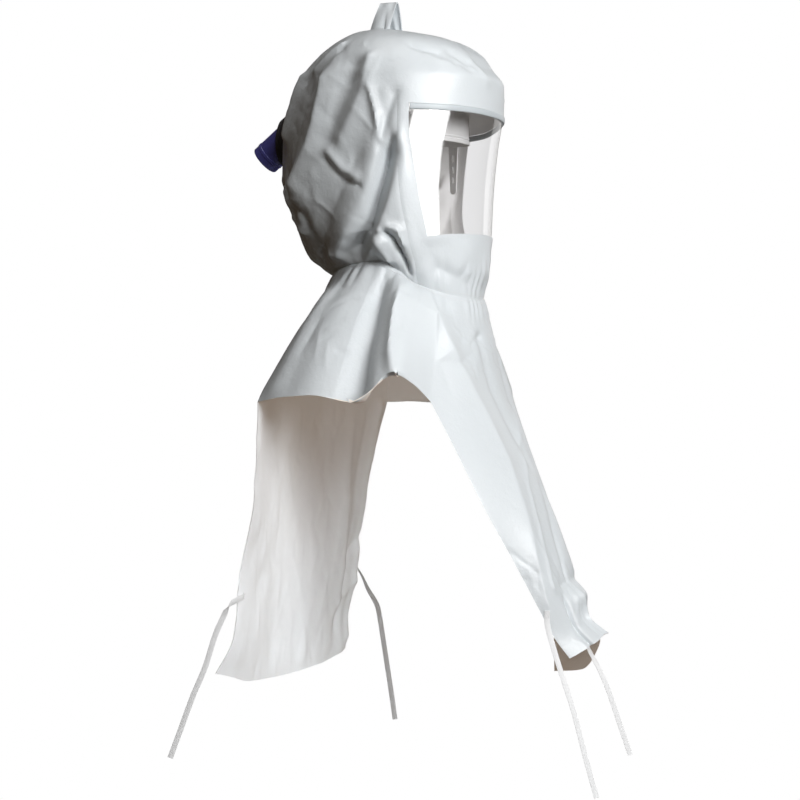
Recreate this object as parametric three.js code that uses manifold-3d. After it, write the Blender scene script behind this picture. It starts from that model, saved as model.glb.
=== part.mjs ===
// A loose respirator hood held up by a head: a crumpled cloth hood with a curved visor under a brow,
// an air inlet at the back, a head harness inside, and a shoulder cape that ends in two bibs with ties.
// Millimetres, +Z up, the wearer faces -Y and the wearer's left is +X.
// The origin is the underside of the crown strap, where it rests on the top of the head.

import * as THREE from "three";
import { mergeVertices } from "three/addons/utils/BufferGeometryUtils.js";
import Module from "manifold-3d";

const wasm = await Module();
wasm.setup();

// Walls and clearances
const CLOTH = 1.2;
const LENS = 1.5;
const ELASTIC = 1.6;
const WEBBING = 1.6;
const TAPE = 0.8;
const GAP = 0.3;
const SEAM = 0.25; // how far each cloth edge is drawn back from its seam line

// The hood from crown to neck. share: place along the cloth from crown to neck; drop: share of the height;
// side: half width; middle, front and back: how far ahead of the head's axis the section lies.
const CROWN_TOP = 28.6;
const HOOD_SECTIONS = [
  { share: 0.0, drop: 0.0, side: 0, middle: -30, front: -30, back: -30 },
  { share: 0.09, drop: 0.01, side: 35, middle: -25, front: -13, back: -57 },
  { share: 0.15, drop: 0.022, side: 60, middle: -22, front: 13, back: -72 },
  { share: 0.22, drop: 0.058, side: 88, middle: -16, front: 65, back: -97 },
  { share: 0.29, drop: 0.113, side: 108, middle: -12, front: 96, back: -123 },
  { share: 0.345, drop: 0.167, side: 120, middle: -10, front: 109, back: -142 },
  { share: 0.395, drop: 0.222, side: 127, middle: -10, front: 122, back: -154 },
  { share: 0.485, drop: 0.33, side: 133, middle: -10, front: 121, back: -169 },
  { share: 0.575, drop: 0.446, side: 135, middle: -10, front: 114, back: -176 },
  { share: 0.665, drop: 0.561, side: 134, middle: -10, front: 109, back: -177 },
  { share: 0.725, drop: 0.637, side: 132, middle: -10, front: 107, back: -174 },
  { share: 0.84, drop: 0.78, side: 125, middle: -6, front: 105, back: -154 },
  { share: 0.915, drop: 0.89, side: 111, middle: -2, front: 103, back: -140 },
  { share: 0.975, drop: 0.967, side: 100, middle: 0, front: 96, back: -113 },
  { share: 1.0, drop: 1.0, side: 95, middle: 0, front: 95, back: -96 },
];
const BROW_DROP = 0.33;
const CHIN_DROP = 0.78;

// Heights of the brow, the chin and the neck line round the head, by bearing from straight ahead. The hood
// sits a little turned, so that its brow comes lower on the wearer's left.
const HOOD_LEVELS = [
  { bearing: 0, brow: -89.5, leftBrow: -89.5, chin: -242, neck: -328 },
  { bearing: 30, brow: -88, leftBrow: -93, chin: -244, neck: -324 },
  { bearing: 62, brow: -82.5, leftBrow: -99, chin: -250, neck: -309 },
  { bearing: 75, brow: -82, leftBrow: -100, chin: -249, neck: -292 },
  { bearing: 90, brow: -82, leftBrow: -98, chin: -246, neck: -280 },
  { bearing: 135, brow: -81, leftBrow: -88, chin: -233, neck: -287 },
  { bearing: 180, brow: -80, leftBrow: -80, chin: -225, neck: -298 },
];

// Bearings of the window's side edge and of the seam between the front cloth and the bag, on the wearer's
// right and, further round, on the left.
const HOOD_EDGES = [
  { share: 0.0, window: 52, seam: 80, leftWindow: 62, leftSeam: 88 },
  { share: 0.3, window: 60, seam: 72, leftWindow: 68, leftSeam: 80 },
  { share: 0.485, window: 62.5, seam: 69, leftWindow: 72, leftSeam: 79 },
  { share: 0.69, window: 55, seam: 66, leftWindow: 75, leftSeam: 84 },
  { share: 0.84, window: 49.5, seam: 62, leftWindow: 70, leftSeam: 81 },
  { share: 1.0, window: 46, seam: 60, leftWindow: 62, leftSeam: 76 },
];
const SEAM_ROW = 3;
const WINDOW_TOP = 0.485;
const WINDOW_BOTTOM = 0.84;
const LENS_CLEARANCE = 0.6;
const LENS_OVERLAP_BEARING = 2.5;
const LENS_OVERLAP_SHARE = 0.02;
const BROW_RIM_SHARE = 0.018;
const BROW_RIM_PROUD = 1;
const BROW_RIM_WALL = 2;
const BROW_RIM_REACH = 0.99;

// Main folds of the hood, from one place to another on its side. height: out of the cloth, or into it
// where negative; ahead and behind: how far the fold spreads to its two sides, in millimetres.
const HOOD_FOLDS = [
  { from: [114, 0.34], to: [131, 0.72], height: 8, ahead: 20, behind: 9 },
  { from: [126, 0.36], to: [142, 0.72], height: -10, ahead: 10, behind: 20 },
  { from: [90, 0.3], to: [101, 0.58], height: -7, ahead: 14, behind: 16 },
  { from: [74, 0.34], to: [79, 0.6], height: -5, ahead: 9, behind: 13 },
  { from: [107, 0.63], to: [94, 0.7], height: -5, ahead: 9, behind: 14 },
  { from: [77, 0.6], to: [87, 0.76], height: 6, ahead: 10, behind: 16 },
  { from: [87, 0.76], to: [114, 0.97], height: 6, ahead: 10, behind: 16 },
  { from: [73, 0.62], to: [79, 0.77], height: -9, ahead: 10, behind: 9 },
  { from: [79, 0.77], to: [101, 0.97], height: -10, ahead: 11, behind: 9 },
  { from: [88, 0.6], to: [111, 0.92], height: -5, ahead: 12, behind: 18 },
  { from: [150, 0.74], to: [168, 0.93], height: -6, ahead: 12, behind: 12 },
  { from: [134, 0.86], to: [142, 0.98], height: 5, ahead: 10, behind: 10 },
  { from: [84, 0.88], to: [80, 0.97], height: 5, ahead: 12, behind: 12 },
  { from: [46, 0.26], to: [24, 0.34], height: -4, ahead: 14, behind: 14 },
  { from: [44, 0.925], to: [18, 0.965], height: -4, ahead: 9, behind: 9 },
];
const FAR_FOLDS = { turn: 16, slide: 0.03, height: 0.85 };
const HOOD_ROUND = 2.3;
const HOOD_LENGTH = 400;
const NECK_CALM = { from: 0.015, over: 0.06 };

// Gathers where the elastic draws the cloth in
const GATHERS = 26;
const GATHER_HEIGHT = 4;
const GATHER_REACH = 0.09;
const CAPE_GATHER_REACH = 0.3;
const NECK_BAND_HALF = 5;
const CAPE_NECK_DROP = 1.5;

// The cape. Bearings split it into the front bib, the arm openings and the back bib.
const FRONT_BIB_BEARING = 48;
const BACK_BIB_BEARING = 128;
const SHOULDER_BEARING = 90;

// The lower edge of the shoulder part between the bibs. out and fall: how soon the cloth leaves the neck
// sideways and how soon it drops, as shares of the way.
const SHOULDER_HEM = [
  { bearing: 48, side: 140, ahead: 89, up: -455, out: 0.5, fall: 0.48 },
  { bearing: 55, side: 166, ahead: 76, up: -433, out: 0.54, fall: 0.44 },
  { bearing: 62, side: 185, ahead: 61, up: -421, out: 0.58, fall: 0.4 },
  { bearing: 80, side: 205, ahead: 14, up: -459, out: 0.6, fall: 0.38 },
  { bearing: 100, side: 210, ahead: -42, up: -448, out: 0.6, fall: 0.38 },
  { bearing: 115, side: 206, ahead: -82, up: -450, out: 0.57, fall: 0.42 },
  { bearing: 128, side: 195, ahead: -122, up: -456, out: 0.54, fall: 0.46 },
];
// How much lower that edge hangs on the wearer's left.
const LEFT_SHOULDER_DROP = 12;

// The bibs from the shoulder part's edge (share 1) to their own hems (share 2): height, middle, and the
// place of the wearer's right and left edges.
const FRONT_BIB = [
  { share: 1.0, up: -455, middle: 121, rightSide: 140, rightAhead: 89, leftSide: 140, leftAhead: 89 },
  { share: 1.13, up: -496, middle: 141, rightSide: 130, rightAhead: 108, leftSide: 132, leftAhead: 107 },
  { share: 1.42, up: -590, middle: 186, rightSide: 108, rightAhead: 150, leftSide: 114, leftAhead: 144 },
  { share: 1.62, up: -652, middle: 212, rightSide: 86, rightAhead: 178, leftSide: 100, leftAhead: 160 },
  { share: 1.82, up: -714, middle: 236, rightSide: 66, rightAhead: 206, leftSide: 88, leftAhead: 168 },
  { share: 1.92, up: -745, middle: 246, rightSide: 60, rightAhead: 222, leftSide: 82, leftAhead: 170 },
  { share: 2.0, up: -770, middle: 270, rightSide: 54, rightAhead: 240, leftSide: 78, leftAhead: 172 },
];
const BACK_BIB = [
  { share: 1.0, up: -456, middle: -142, rightSide: 195, rightAhead: -122, leftSide: 195, leftAhead: -122 },
  { share: 1.33, up: -566, middle: -154, rightSide: 195, rightAhead: -127, leftSide: 195, leftAhead: -150 },
  { share: 1.68, up: -685, middle: -166, rightSide: 198, rightAhead: -147, leftSide: 198, leftAhead: -172 },
  { share: 1.87, up: -752, middle: -176, rightSide: 199, rightAhead: -154, leftSide: 199, leftAhead: -189 },
  { share: 2.0, up: -797, middle: -184, rightSide: 201, rightAhead: -178, leftSide: 200, leftAhead: -191 },
];
// How far the back bib's edges curl back, and how close to the edge that stays.
const BACK_FLARE = [
  { share: 1.0, flare: 0 },
  { share: 1.33, flare: 4 },
  { share: 1.68, flare: 10 },
  { share: 1.87, flare: 12 },
  { share: 2.0, flare: 22 },
];
const FLARE_POWER = 10;

// How the hems of the bibs lift and dip, from the right edge (-1) to the left edge (1).
const HEM_POWER = 3;
const FRONT_HEM = [
  { across: -1, lift: 10 },
  { across: -0.5, lift: -9 },
  { across: 0, lift: -2 },
  { across: 0.35, lift: 20 },
  { across: 0.75, lift: -30 },
  { across: 1, lift: -36 },
];
const BACK_HEM = [
  { across: -1, lift: 0 },
  { across: -0.6, lift: -17 },
  { across: 0, lift: -22 },
  { across: 0.5, lift: -17 },
  { across: 1, lift: 0 },
];
const CAPE_FOLDS = [
  { from: [72, 0.05], to: [66, 0.85], height: -12, ahead: 16, behind: 16 },
  { from: [84, 0.05], to: [88, 0.9], height: 7, ahead: 16, behind: 22 },
  { from: [106, 0.1], to: [104, 0.95], height: -6, ahead: 18, behind: 20 },
  { from: [40, 0.1], to: [26, 1.5], height: 7, ahead: 16, behind: 20 },
  { from: [20, 0.2], to: [10, 1.4], height: -5, ahead: 16, behind: 16 },
  { from: [140, 0.1], to: [146, 1.0], height: -6, ahead: 18, behind: 18 },
];
const CAPE_ROUND = 2.8;
const CAPE_LENGTH = 190;

// Grid counts
const WINDOW_COLUMNS = 7;
const STRIP_COLUMNS = 2;
const BAG_COLUMNS = 17;
const HOOD_SHARES = [
  0, 0.05, 0.1, 0.15, 0.205, 0.26, 0.315, 0.37, 0.425, WINDOW_TOP, 0.545, 0.605, 0.665, 0.725, 0.785,
  WINDOW_BOTTOM, 0.885, 0.925, 0.962, 1,
];
const YOKE_ROWS = 7;
const BIB_ROWS = 10;
const CAPE_COLUMNS = { frontBib: 6, frontArm: 5, backArm: 5, backBib: 6 };

// Hang loop
const LOOP_TOP = 63;
const LOOP_AHEAD = -30;
const LOOP_WIDTH = 24;
const LOOP_FOOT = [
  { bearing: 148, share: 0.075 },
  { bearing: 90, share: 0.045 },
  { bearing: 46, share: 0.07 },
];
const LOOP_CROWN_HALF = 5;
const LOOP_FOOT_RISE = 0.35;

// Air supply, on an axis that leaves the back of the hood and slopes down
const INLET_END = { ahead: -211.6, up: -134.7 };
const INLET_SLOPE = THREE.MathUtils.degToRad(38.4);
const INLET_RADIUS = 20.3;
const INLET_BORE = 17;
const INLET_LENGTH = 74;
const COLLAR_RADIUS = 24.6;
const COLLAR_FROM_AHEAD = -184;
const COLLAR_TO_AHEAD = -164;
const DUCT_RADIUS = 19;
const DUCT_BORE = 16;
const DUCT_LENGTH = 31.7;
const ROUND_SIDES = 28;

// Head harness
const BAND = { ahead: -25, depth: 100, side: 78, wall: 2.5, steps: 44 };
const BAND_EDGES = [
  { bearing: 0, top: -84, bottom: -125 },
  { bearing: 45, top: -84.5, bottom: -122 },
  { bearing: 90, top: -88, bottom: -116 },
  { bearing: 180, top: -92.4, bottom: -117 },
];
const BAND_BEAD = { height: 5, proud: 1.2 };
const CROWN_STRAP = { width: 22, steps: 20, seatBearing: 83 };
const TEMPLE = { bearing: 57, overlap: 12, length: 62, topWidth: 18, endWidth: 11 };

// Ties: each route runs on from a root on the cape, as side, ahead and up. across: the way the tape's
// width lies once it hangs.
const TIE_WIDTH = 7;
const TIE_TURN_STEPS = 3;
const TIE_CLEARANCE = 0.5;
const TIES = [
  {
    name: "tie_back_right",
    root: { bearing: -131, share: 1.717, inside: true },
    across: [0.35, 0.8, 0.2],
    route: [
      [-199, -140, -700], [-208, -150, -706], [-213, -157, -717], [-216, -161, -728], [-219, -169, -747],
      [-223, -181, -787], [-227, -196, -823], [-231, -212, -867], [-235, -224, -901],
    ],
  },
  {
    name: "tie_back_left",
    root: { bearing: 128.8, share: 1.685, inside: true },
    across: [0.35, 0.8, 0.2],
    route: [
      [205, -164, -700], [212, -158, -719], [218, -148, -739], [221, -145, -753], [225, -141, -786],
      [228, -136, -824], [231, -131, -862], [234, -126, -903],
    ],
  },
  {
    name: "tie_front_right",
    root: { bearing: -45, share: 1.82, inside: false },
    across: [0.8, 0.6, 0.1],
    route: [
      [-68, 216, -733], [-68, 224, -761], [-67, 234, -792], [-66, 249, -836], [-64, 264, -893],
      [-61, 278, -944],
    ],
  },
  {
    name: "tie_front_left",
    root: { bearing: 19, share: 1.88, inside: true },
    across: [0.8, 0.6, 0.1],
    route: [
      [30, 231, -758], [30, 237, -774], [34, 248, -796], [38, 258, -821], [44, 271, -863], [50, 284, -905],
    ],
  },
];

const FINISHES = {
  cloth: { color: 0xd4d9da, roughness: 0.42, metalness: 0 },
  lens: { color: 0xe9edf2, roughness: 0.08, metalness: 0, transparent: true, opacity: 0.3 },
  rim: { color: 0xaeb6ba, roughness: 0.5, metalness: 0 },
  elastic: { color: 0xc4c6c4, roughness: 0.8, metalness: 0 },
  tape: { color: 0xdcdee0, roughness: 0.7, metalness: 0 },
  inlet: { color: 0x28286b, roughness: 0.38, metalness: 0 },
  collar: { color: 0x17171a, roughness: 0.6, metalness: 0 },
  harness: { color: 0xbfc0c0, roughness: 0.55, metalness: 0 },
};

const at = (side, ahead, up) => new THREE.Vector3(side, -ahead, up);
const rad = THREE.MathUtils.degToRad;
const lerp = THREE.MathUtils.lerp;

// The slope of one column of a table at a row, kept flat where the column turns.
function slopeAt(table, key, column, row) {
  const step = (i) => (table[i + 1][column] - table[i][column]) / (table[i + 1][key] - table[i][key]);
  if (row === 0) return step(0);
  if (row === table.length - 1) return step(row - 1);
  const before = step(row - 1);
  const after = step(row);
  return before * after <= 0 ? 0 : (2 * before * after) / (before + after);
}

// All columns of a table at a value of its key, on a smooth curve through the rows.
function sample(table, key, value) {
  const last = table.length - 1;
  const x = THREE.MathUtils.clamp(value, table[0][key], table[last][key]);
  let row = 0;
  while (row < last - 1 && x > table[row + 1][key]) row += 1;
  const span = table[row + 1][key] - table[row][key];
  const t = (x - table[row][key]) / span;
  const result = {};
  for (const column of Object.keys(table[row])) {
    const start = table[row][column];
    const end = table[row + 1][column];
    const startSlope = slopeAt(table, key, column, row) * span;
    const endSlope = slopeAt(table, key, column, row + 1) * span;
    const bend = 3 * (end - start) - 2 * startSlope - endSlope;
    const twist = 2 * (start - end) + startSlope + endSlope;
    result[column] = start + t * (startSlope + t * (bend + t * twist));
  }
  return result;
}

// Height of a row of folds at one place, with the places scaled to millimetres.
function foldHeight(folds, bearing, share, round, length) {
  let height = 0;
  for (const fold of folds) {
    const start = new THREE.Vector2(fold.from[0] * round, fold.from[1] * length);
    const along = new THREE.Vector2(fold.to[0] * round, fold.to[1] * length).sub(start);
    const place = new THREE.Vector2(bearing * round, share * length).sub(start);
    const reach = place.dot(along) / along.lengthSq();
    const past = Math.max(0, -reach, reach - 1) * along.length();
    const sideways = place.cross(along) / along.length();
    const spread = sideways * Math.sign(along.y) < 0 ? fold.ahead : fold.behind;
    height += fold.height * Math.exp(-((sideways / spread) ** 2) - (past / spread) ** 2);
  }
  return height;
}

// Folds lie on the wearer's right, and lower, shifted and shallower on the left.
function foldsOnBothSides(folds, bearing, share, round, length) {
  const left = foldHeight(folds, bearing - FAR_FOLDS.turn, share - FAR_FOLDS.slide, round, length);
  return foldHeight(folds, -bearing, share, round, length) + FAR_FOLDS.height * left;
}

// Small even gathers, highest a little way from the neck line.
function gatherHeight(bearing, distance, reach) {
  const wave = 0.5 - 0.5 * Math.cos(rad(bearing * GATHERS));
  const near = distance / reach;
  return GATHER_HEIGHT * wave * near * Math.exp(1 - near ** 2);
}

function hoodPoint(bearing, share) {
  const section = sample(HOOD_SECTIONS, "share", share);
  const level = sample(HOOD_LEVELS, "bearing", Math.abs(bearing));
  const brow = bearing > 0 ? level.leftBrow : level.brow;
  const cosine = Math.cos(rad(bearing));
  const reach = cosine >= 0 ? section.front - section.middle : section.middle - section.back;
  let up = lerp(level.chin, level.neck, (section.drop - CHIN_DROP) / (1 - CHIN_DROP));
  if (section.drop <= BROW_DROP) up = lerp(CROWN_TOP, brow, section.drop / BROW_DROP);
  else if (section.drop <= CHIN_DROP) {
    up = lerp(brow, level.chin, (section.drop - BROW_DROP) / (CHIN_DROP - BROW_DROP));
  }
  return at(section.side * Math.sin(rad(bearing)), section.middle + reach * cosine, up);
}

function frontBibPoint(bearing, share) {
  const row = sample(FRONT_BIB, "share", share);
  const across = bearing / FRONT_BIB_BEARING;
  const side = across < 0 ? row.rightSide : row.leftSide;
  const edge = across < 0 ? row.rightAhead : row.leftAhead;
  const lift = sample(FRONT_HEM, "across", across).lift * (share - 1) ** HEM_POWER;
  return at(side * across, lerp(row.middle, edge, across ** 2), row.up + lift);
}

function backBibPoint(bearing, share) {
  const row = sample(BACK_BIB, "share", share);
  const { flare } = sample(BACK_FLARE, "share", share);
  const across = (Math.sign(bearing) * (180 - Math.abs(bearing))) / (180 - BACK_BIB_BEARING);
  const side = across < 0 ? row.rightSide : row.leftSide;
  const edge = (across < 0 ? row.rightAhead : row.leftAhead) + flare;
  const ahead = lerp(row.middle, edge, across ** 2) - flare * across ** FLARE_POWER;
  const lift = sample(BACK_HEM, "across", across).lift * (share - 1) ** HEM_POWER;
  return at(side * across, ahead, row.up + lift);
}

function inFrontBib(bearing) {
  return Math.abs(bearing) <= FRONT_BIB_BEARING;
}

function inBackBib(bearing) {
  return Math.abs(bearing) >= BACK_BIB_BEARING;
}

// The cape from the neck line (share 0) over the shoulders (1) to the hems of the bibs (2).
function capePoint(bearing, share) {
  if (share > 1) return inFrontBib(bearing) ? frontBibPoint(bearing, share) : backBibPoint(bearing, share);
  const size = Math.abs(bearing);
  const shoulder = sample(SHOULDER_HEM, "bearing", size);
  const between = THREE.MathUtils.inverseLerp(FRONT_BIB_BEARING, BACK_BIB_BEARING, size);
  const drop = bearing > 0 ? LEFT_SHOULDER_DROP * Math.sin(Math.PI * between) : 0;
  let hem = at(Math.sign(bearing) * shoulder.side, shoulder.ahead, shoulder.up - drop);
  if (inFrontBib(bearing)) hem = frontBibPoint(bearing, 1);
  if (inBackBib(bearing)) hem = backBibPoint(bearing, 1);
  const neck = hoodPoint(bearing, 1);
  neck.z -= CAPE_NECK_DROP;
  const turn = neck.clone().lerp(hem, shoulder.out);
  turn.z = lerp(neck.z, hem.z, shoulder.fall);
  return new THREE.QuadraticBezierCurve3(neck, turn, hem).getPoint(share);
}

// A grid of surface points with the outward direction at each, for cloth that is cut from it.
function makeGrid(rowCount, columnCount, pointAt, { ring = false, pole = false } = {}) {
  const points = [];
  for (let r = 0; r < rowCount; r += 1) {
    points.push(Array.from({ length: columnCount }, (_, c) => pointAt(r, c)));
  }
  const neighbour = (r, c) => points[r]?.[ring ? (c + columnCount) % columnCount : c] ?? null;
  const outward = points.map((line, r) => line.map((point, c) => {
    if (!point) return null;
    if (pole && r === 0) return new THREE.Vector3(0, 0, 1);
    const across = (neighbour(r, c + 1) ?? point).clone().sub(neighbour(r, c - 1) ?? point);
    const upward = (neighbour(r - 1, c) ?? point).clone().sub(neighbour(r + 1, c) ?? point);
    return across.cross(upward).normalize();
  }));
  return { points, outward, ring, pole, rowCount, columnCount };
}

// Moves the points of a grid along their outward directions.
function raiseGrid(grid, heightAt) {
  const raised = (r, c) => {
    const point = grid.points[r][c];
    return point && point.clone().addScaledVector(grid.outward[r][c], heightAt(r, c));
  };
  return makeGrid(grid.rowCount, grid.columnCount, raised, grid);
}

// A closed wall on the cells of a grid that a piece keeps, with its edges drawn back.
function wall(grid, keeps, { thickness = CLOTH, inset = 0 } = {}) {
  const { points, outward, ring, pole, rowCount, columnCount } = grid;
  const wrap = (c) => (ring ? (c + columnCount) % columnCount : c);
  const kept = (r, c) => {
    const column = wrap(c);
    const columns = ring ? columnCount : columnCount - 1;
    return r >= 0 && r < rowCount - 1 && column >= 0 && column < columns && keeps(r, column);
  };
  const cornersOf = (r, c) => [[r, c], [r + 1, c], [r + 1, wrap(c + 1)], [r, wrap(c + 1)]];
  const positions = [];
  const index = [];
  const numbers = new Map();
  const vertex = (r, c, layer) => {
    const column = pole && r === 0 ? 0 : c;
    const name = `${r} ${column} ${layer}`;
    if (!numbers.has(name)) {
      const cells = [[r - 1, c - 1], [r - 1, c], [r, c - 1], [r, c]].filter(([i, j]) => kept(i, j));
      const point = points[r][column].clone();
      if (cells.length < 4 && !(pole && r === 0)) {
        const centre = new THREE.Vector3();
        const corners = cells.flatMap(([i, j]) => cornersOf(i, wrap(j)));
        for (const [i, j] of corners) centre.addScaledVector(points[i][j], 1 / corners.length);
        point.addScaledVector(centre.sub(point).normalize(), cells.length === 1 ? 2 * SEAM : SEAM);
      }
      point.addScaledVector(outward[r][column], -inset - layer * thickness);
      numbers.set(name, positions.length / 3);
      positions.push(point.x, point.y, point.z);
    }
    return numbers.get(name);
  };
  const triangle = (a, b, c) => {
    if (a !== b && b !== c && c !== a) index.push(a, b, c);
  };
  const quad = (a, b, c, d) => {
    triangle(a, b, c);
    triangle(a, c, d);
  };
  const beyond = [[0, -1], [1, 0], [0, 1], [-1, 0]];
  const order = ([r, c]) => r * columnCount + c;
  for (let r = 0; r < rowCount - 1; r += 1) {
    for (let c = 0; c < columnCount; c += 1) {
      if (!kept(r, c)) continue;
      const corners = cornersOf(r, c);
      const outer = corners.map(([i, j]) => vertex(i, j, 0));
      const inner = corners.map(([i, j]) => vertex(i, j, 1));
      quad(...outer);
      // Both faces split along the same line, so that the wall keeps its thickness where it twists.
      quad(inner[0], inner[3], inner[2], inner[1]);
      for (let side = 0; side < 4; side += 1) {
        const [down, right] = beyond[side];
        const next = (side + 1) % 4;
        if (kept(r + down, c + right)) continue;
        const rim = [outer[next], outer[side], inner[side], inner[next]];
        // Two pieces that meet split their rims along the same line, so the gap stays even.
        if (order(corners[side]) < order(corners[next])) rim.push(rim.shift());
        quad(...rim);
      }
    }
  }
  return meshGeometry(positions, index);
}

function meshGeometry(positions, index) {
  const geometry = new THREE.BufferGeometry();
  geometry.setAttribute("position", new THREE.Float32BufferAttribute(positions, 3));
  geometry.setIndex(index);
  geometry.computeVertexNormals();
  return geometry;
}

// A solid through a row of sections with the same number of corners, closed into a ring or capped.
// Opposite faces split along the same line, so that a flat section keeps its thickness where it turns.
function loft(sections, { ring = false } = {}) {
  const corners = sections[0].length;
  const positions = sections.flat().flatMap((point) => point.toArray());
  const index = [];
  const spans = ring ? sections.length : sections.length - 1;
  for (let s = 0; s < spans; s += 1) {
    const here = s * corners;
    const there = ((s + 1) % sections.length) * corners;
    for (let k = 0; k < corners; k += 1) {
      const next = (k + 1) % corners;
      if (k < corners / 2) index.push(here + k, here + next, there + next, here + k, there + next, there + k);
      else index.push(here + k, here + next, there + k, here + next, there + next, there + k);
    }
  }
  const end = (sections.length - 1) * corners;
  for (let k = 1; k < corners - 1 && !ring; k += 1) {
    index.push(0, k + 1, k, end, end + k, end + k + 1);
  }
  return meshGeometry(positions, index);
}

// A flat strap along a route: its width lies along across, and its wall stands on the other side of that.
function strap(route, acrossAt, widthAt, thickness) {
  const sections = route.map((point, i) => {
    const before = route[Math.max(i - 1, 0)];
    const after = route[Math.min(i + 1, route.length - 1)];
    const along = after.clone().sub(before).normalize();
    const face = along.clone().cross(acrossAt(i)).normalize();
    const across = face.clone().cross(along).multiplyScalar(widthAt(i) / 2);
    const depth = face.multiplyScalar(thickness / 2);
    const corner = (wide, deep) => point.clone().addScaledVector(across, wide).addScaledVector(depth, deep);
    return [corner(-1, -1), corner(1, -1), corner(1, 1), corner(-1, 1)];
  });
  return loft(sections);
}

function solidOf(geometry) {
  return new wasm.Manifold(new wasm.Mesh({
    numProp: 3,
    vertProperties: new Float32Array(geometry.getAttribute("position").array),
    triVerts: new Uint32Array(geometry.index.array),
  }));
}

function geometryOf(solid) {
  const mesh = solid.getMesh();
  return meshGeometry(Array.from(mesh.vertProperties), Array.from(mesh.triVerts));
}

// A round tube on the inlet's axis, from one distance to another behind the inlet's mouth.
function inletTube(radius, bore, from, to) {
  const ringAt = (turn) => {
    const direction = new THREE.Vector3(Math.cos(turn), Math.sin(turn), 0);
    const corner = (reach, depth) => direction.clone().multiplyScalar(reach).setZ(-depth);
    return [corner(bore, from), corner(radius, from), corner(radius, to), corner(bore, to)];
  };
  const turns = Array.from({ length: ROUND_SIDES }, (_, i) => (i / ROUND_SIDES) * 2 * Math.PI);
  return loft(turns.map(ringAt), { ring: true });
}

// A plain round rod on the same axis, for cutting.
function inletRod(radius, from, to) {
  const disc = (depth) => Array.from({ length: ROUND_SIDES }, (_, i) => {
    const turn = (i / ROUND_SIDES) * 2 * Math.PI;
    return new THREE.Vector3(Math.cos(turn) * radius, Math.sin(turn) * radius, -depth);
  });
  return loft([disc(to), disc(from)]);
}

function placeOnInletAxis(object) {
  object.position.copy(at(0, INLET_END.ahead, INLET_END.up));
  object.rotation.x = -Math.PI / 2 - INLET_SLOPE;
  object.updateMatrix();
  return object;
}

const hood = new THREE.Group();
const cape = new THREE.Group();
const harness = new THREE.Group();
const airSupply = placeOnInletAxis(new THREE.Group());

function add(group, name, finish, geometry) {
  const mesh = new THREE.Mesh(geometry, new THREE.MeshStandardMaterial(FINISHES[finish]));
  mesh.name = name;
  group.add(mesh);
  return mesh;
}

// Columns of the hood: the bearing of each, for a place along the cloth.
const HALF_HOOD = WINDOW_COLUMNS + STRIP_COLUMNS + BAG_COLUMNS;
function hoodBearing(column, share) {
  const edge = sample(HOOD_EDGES, "share", share);
  const window = column > 0 ? edge.leftWindow : edge.window;
  const seam = column > 0 ? edge.leftSeam : edge.seam;
  const size = Math.abs(column);
  let bearing = (window * size) / WINDOW_COLUMNS;
  if (size > WINDOW_COLUMNS) {
    bearing = lerp(window, seam, (size - WINDOW_COLUMNS) / STRIP_COLUMNS);
  }
  if (size > WINDOW_COLUMNS + STRIP_COLUMNS) {
    bearing = lerp(seam, 180, (size - WINDOW_COLUMNS - STRIP_COLUMNS) / BAG_COLUMNS);
  }
  return Math.sign(column) * bearing;
}

function makeHoodGrid() {
  const bearingAt = (r, c) => hoodBearing(c - HALF_HOOD, HOOD_SHARES[r]);
  const pointAt = (r, c) => hoodPoint(bearingAt(r, c), HOOD_SHARES[r]);
  const smooth = makeGrid(HOOD_SHARES.length, 2 * HALF_HOOD, pointAt, { ring: true, pole: true });
  return raiseGrid(smooth, (r, c) => {
    const share = HOOD_SHARES[r];
    const bearing = bearingAt(r, c);
    const folds = foldsOnBothSides(HOOD_FOLDS, bearing, share, HOOD_ROUND, HOOD_LENGTH);
    const calm = THREE.MathUtils.clamp((1 - share - NECK_CALM.from) / NECK_CALM.over, 0, 1);
    return calm * folds + gatherHeight(bearing, 1 - share, GATHER_REACH);
  });
}

const hoodGrid = makeHoodGrid();
const windowTopRow = HOOD_SHARES.indexOf(WINDOW_TOP);
const windowBottomRow = HOOD_SHARES.indexOf(WINDOW_BOTTOM);

// A cell of the hood by the distance of its middle from the front, in columns.
const columnsFromFront = (c) => Math.abs(c + 0.5 - HALF_HOOD);
const inFrontCloth = (r, c) => r >= SEAM_ROW && columnsFromFront(c) < WINDOW_COLUMNS + STRIP_COLUMNS;
const inWindow = (r, c) => r >= windowTopRow && r < windowBottomRow && columnsFromFront(c) < WINDOW_COLUMNS;

function makeBag() {
  const cloth = wall(hoodGrid, (r, c) => !inFrontCloth(r, c));
  const hole = inletRod(COLLAR_RADIUS + GAP, 0, INLET_LENGTH + COLLAR_RADIUS);
  const cutter = placeOnInletAxis(new THREE.Object3D());
  hole.applyMatrix4(cutter.matrix);
  return geometryOf(solidOf(cloth).subtract(solidOf(hole)));
}

// A strip of the smooth hood surface inside the window's columns, with a margin past its side edges
// and its bearings scaled.
function windowStrip(shares, margin, scale = 1) {
  const columns = 2 * WINDOW_COLUMNS + 3;
  const pointAt = (r, c) => {
    const column = THREE.MathUtils.clamp(c - 1 - WINDOW_COLUMNS, -WINDOW_COLUMNS, WINDOW_COLUMNS);
    const past = c - 1 - WINDOW_COLUMNS - column;
    return hoodPoint(scale * hoodBearing(column, shares[r]) + past * margin, shares[r]);
  };
  return makeGrid(shares.length, columns, pointAt);
}

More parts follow.
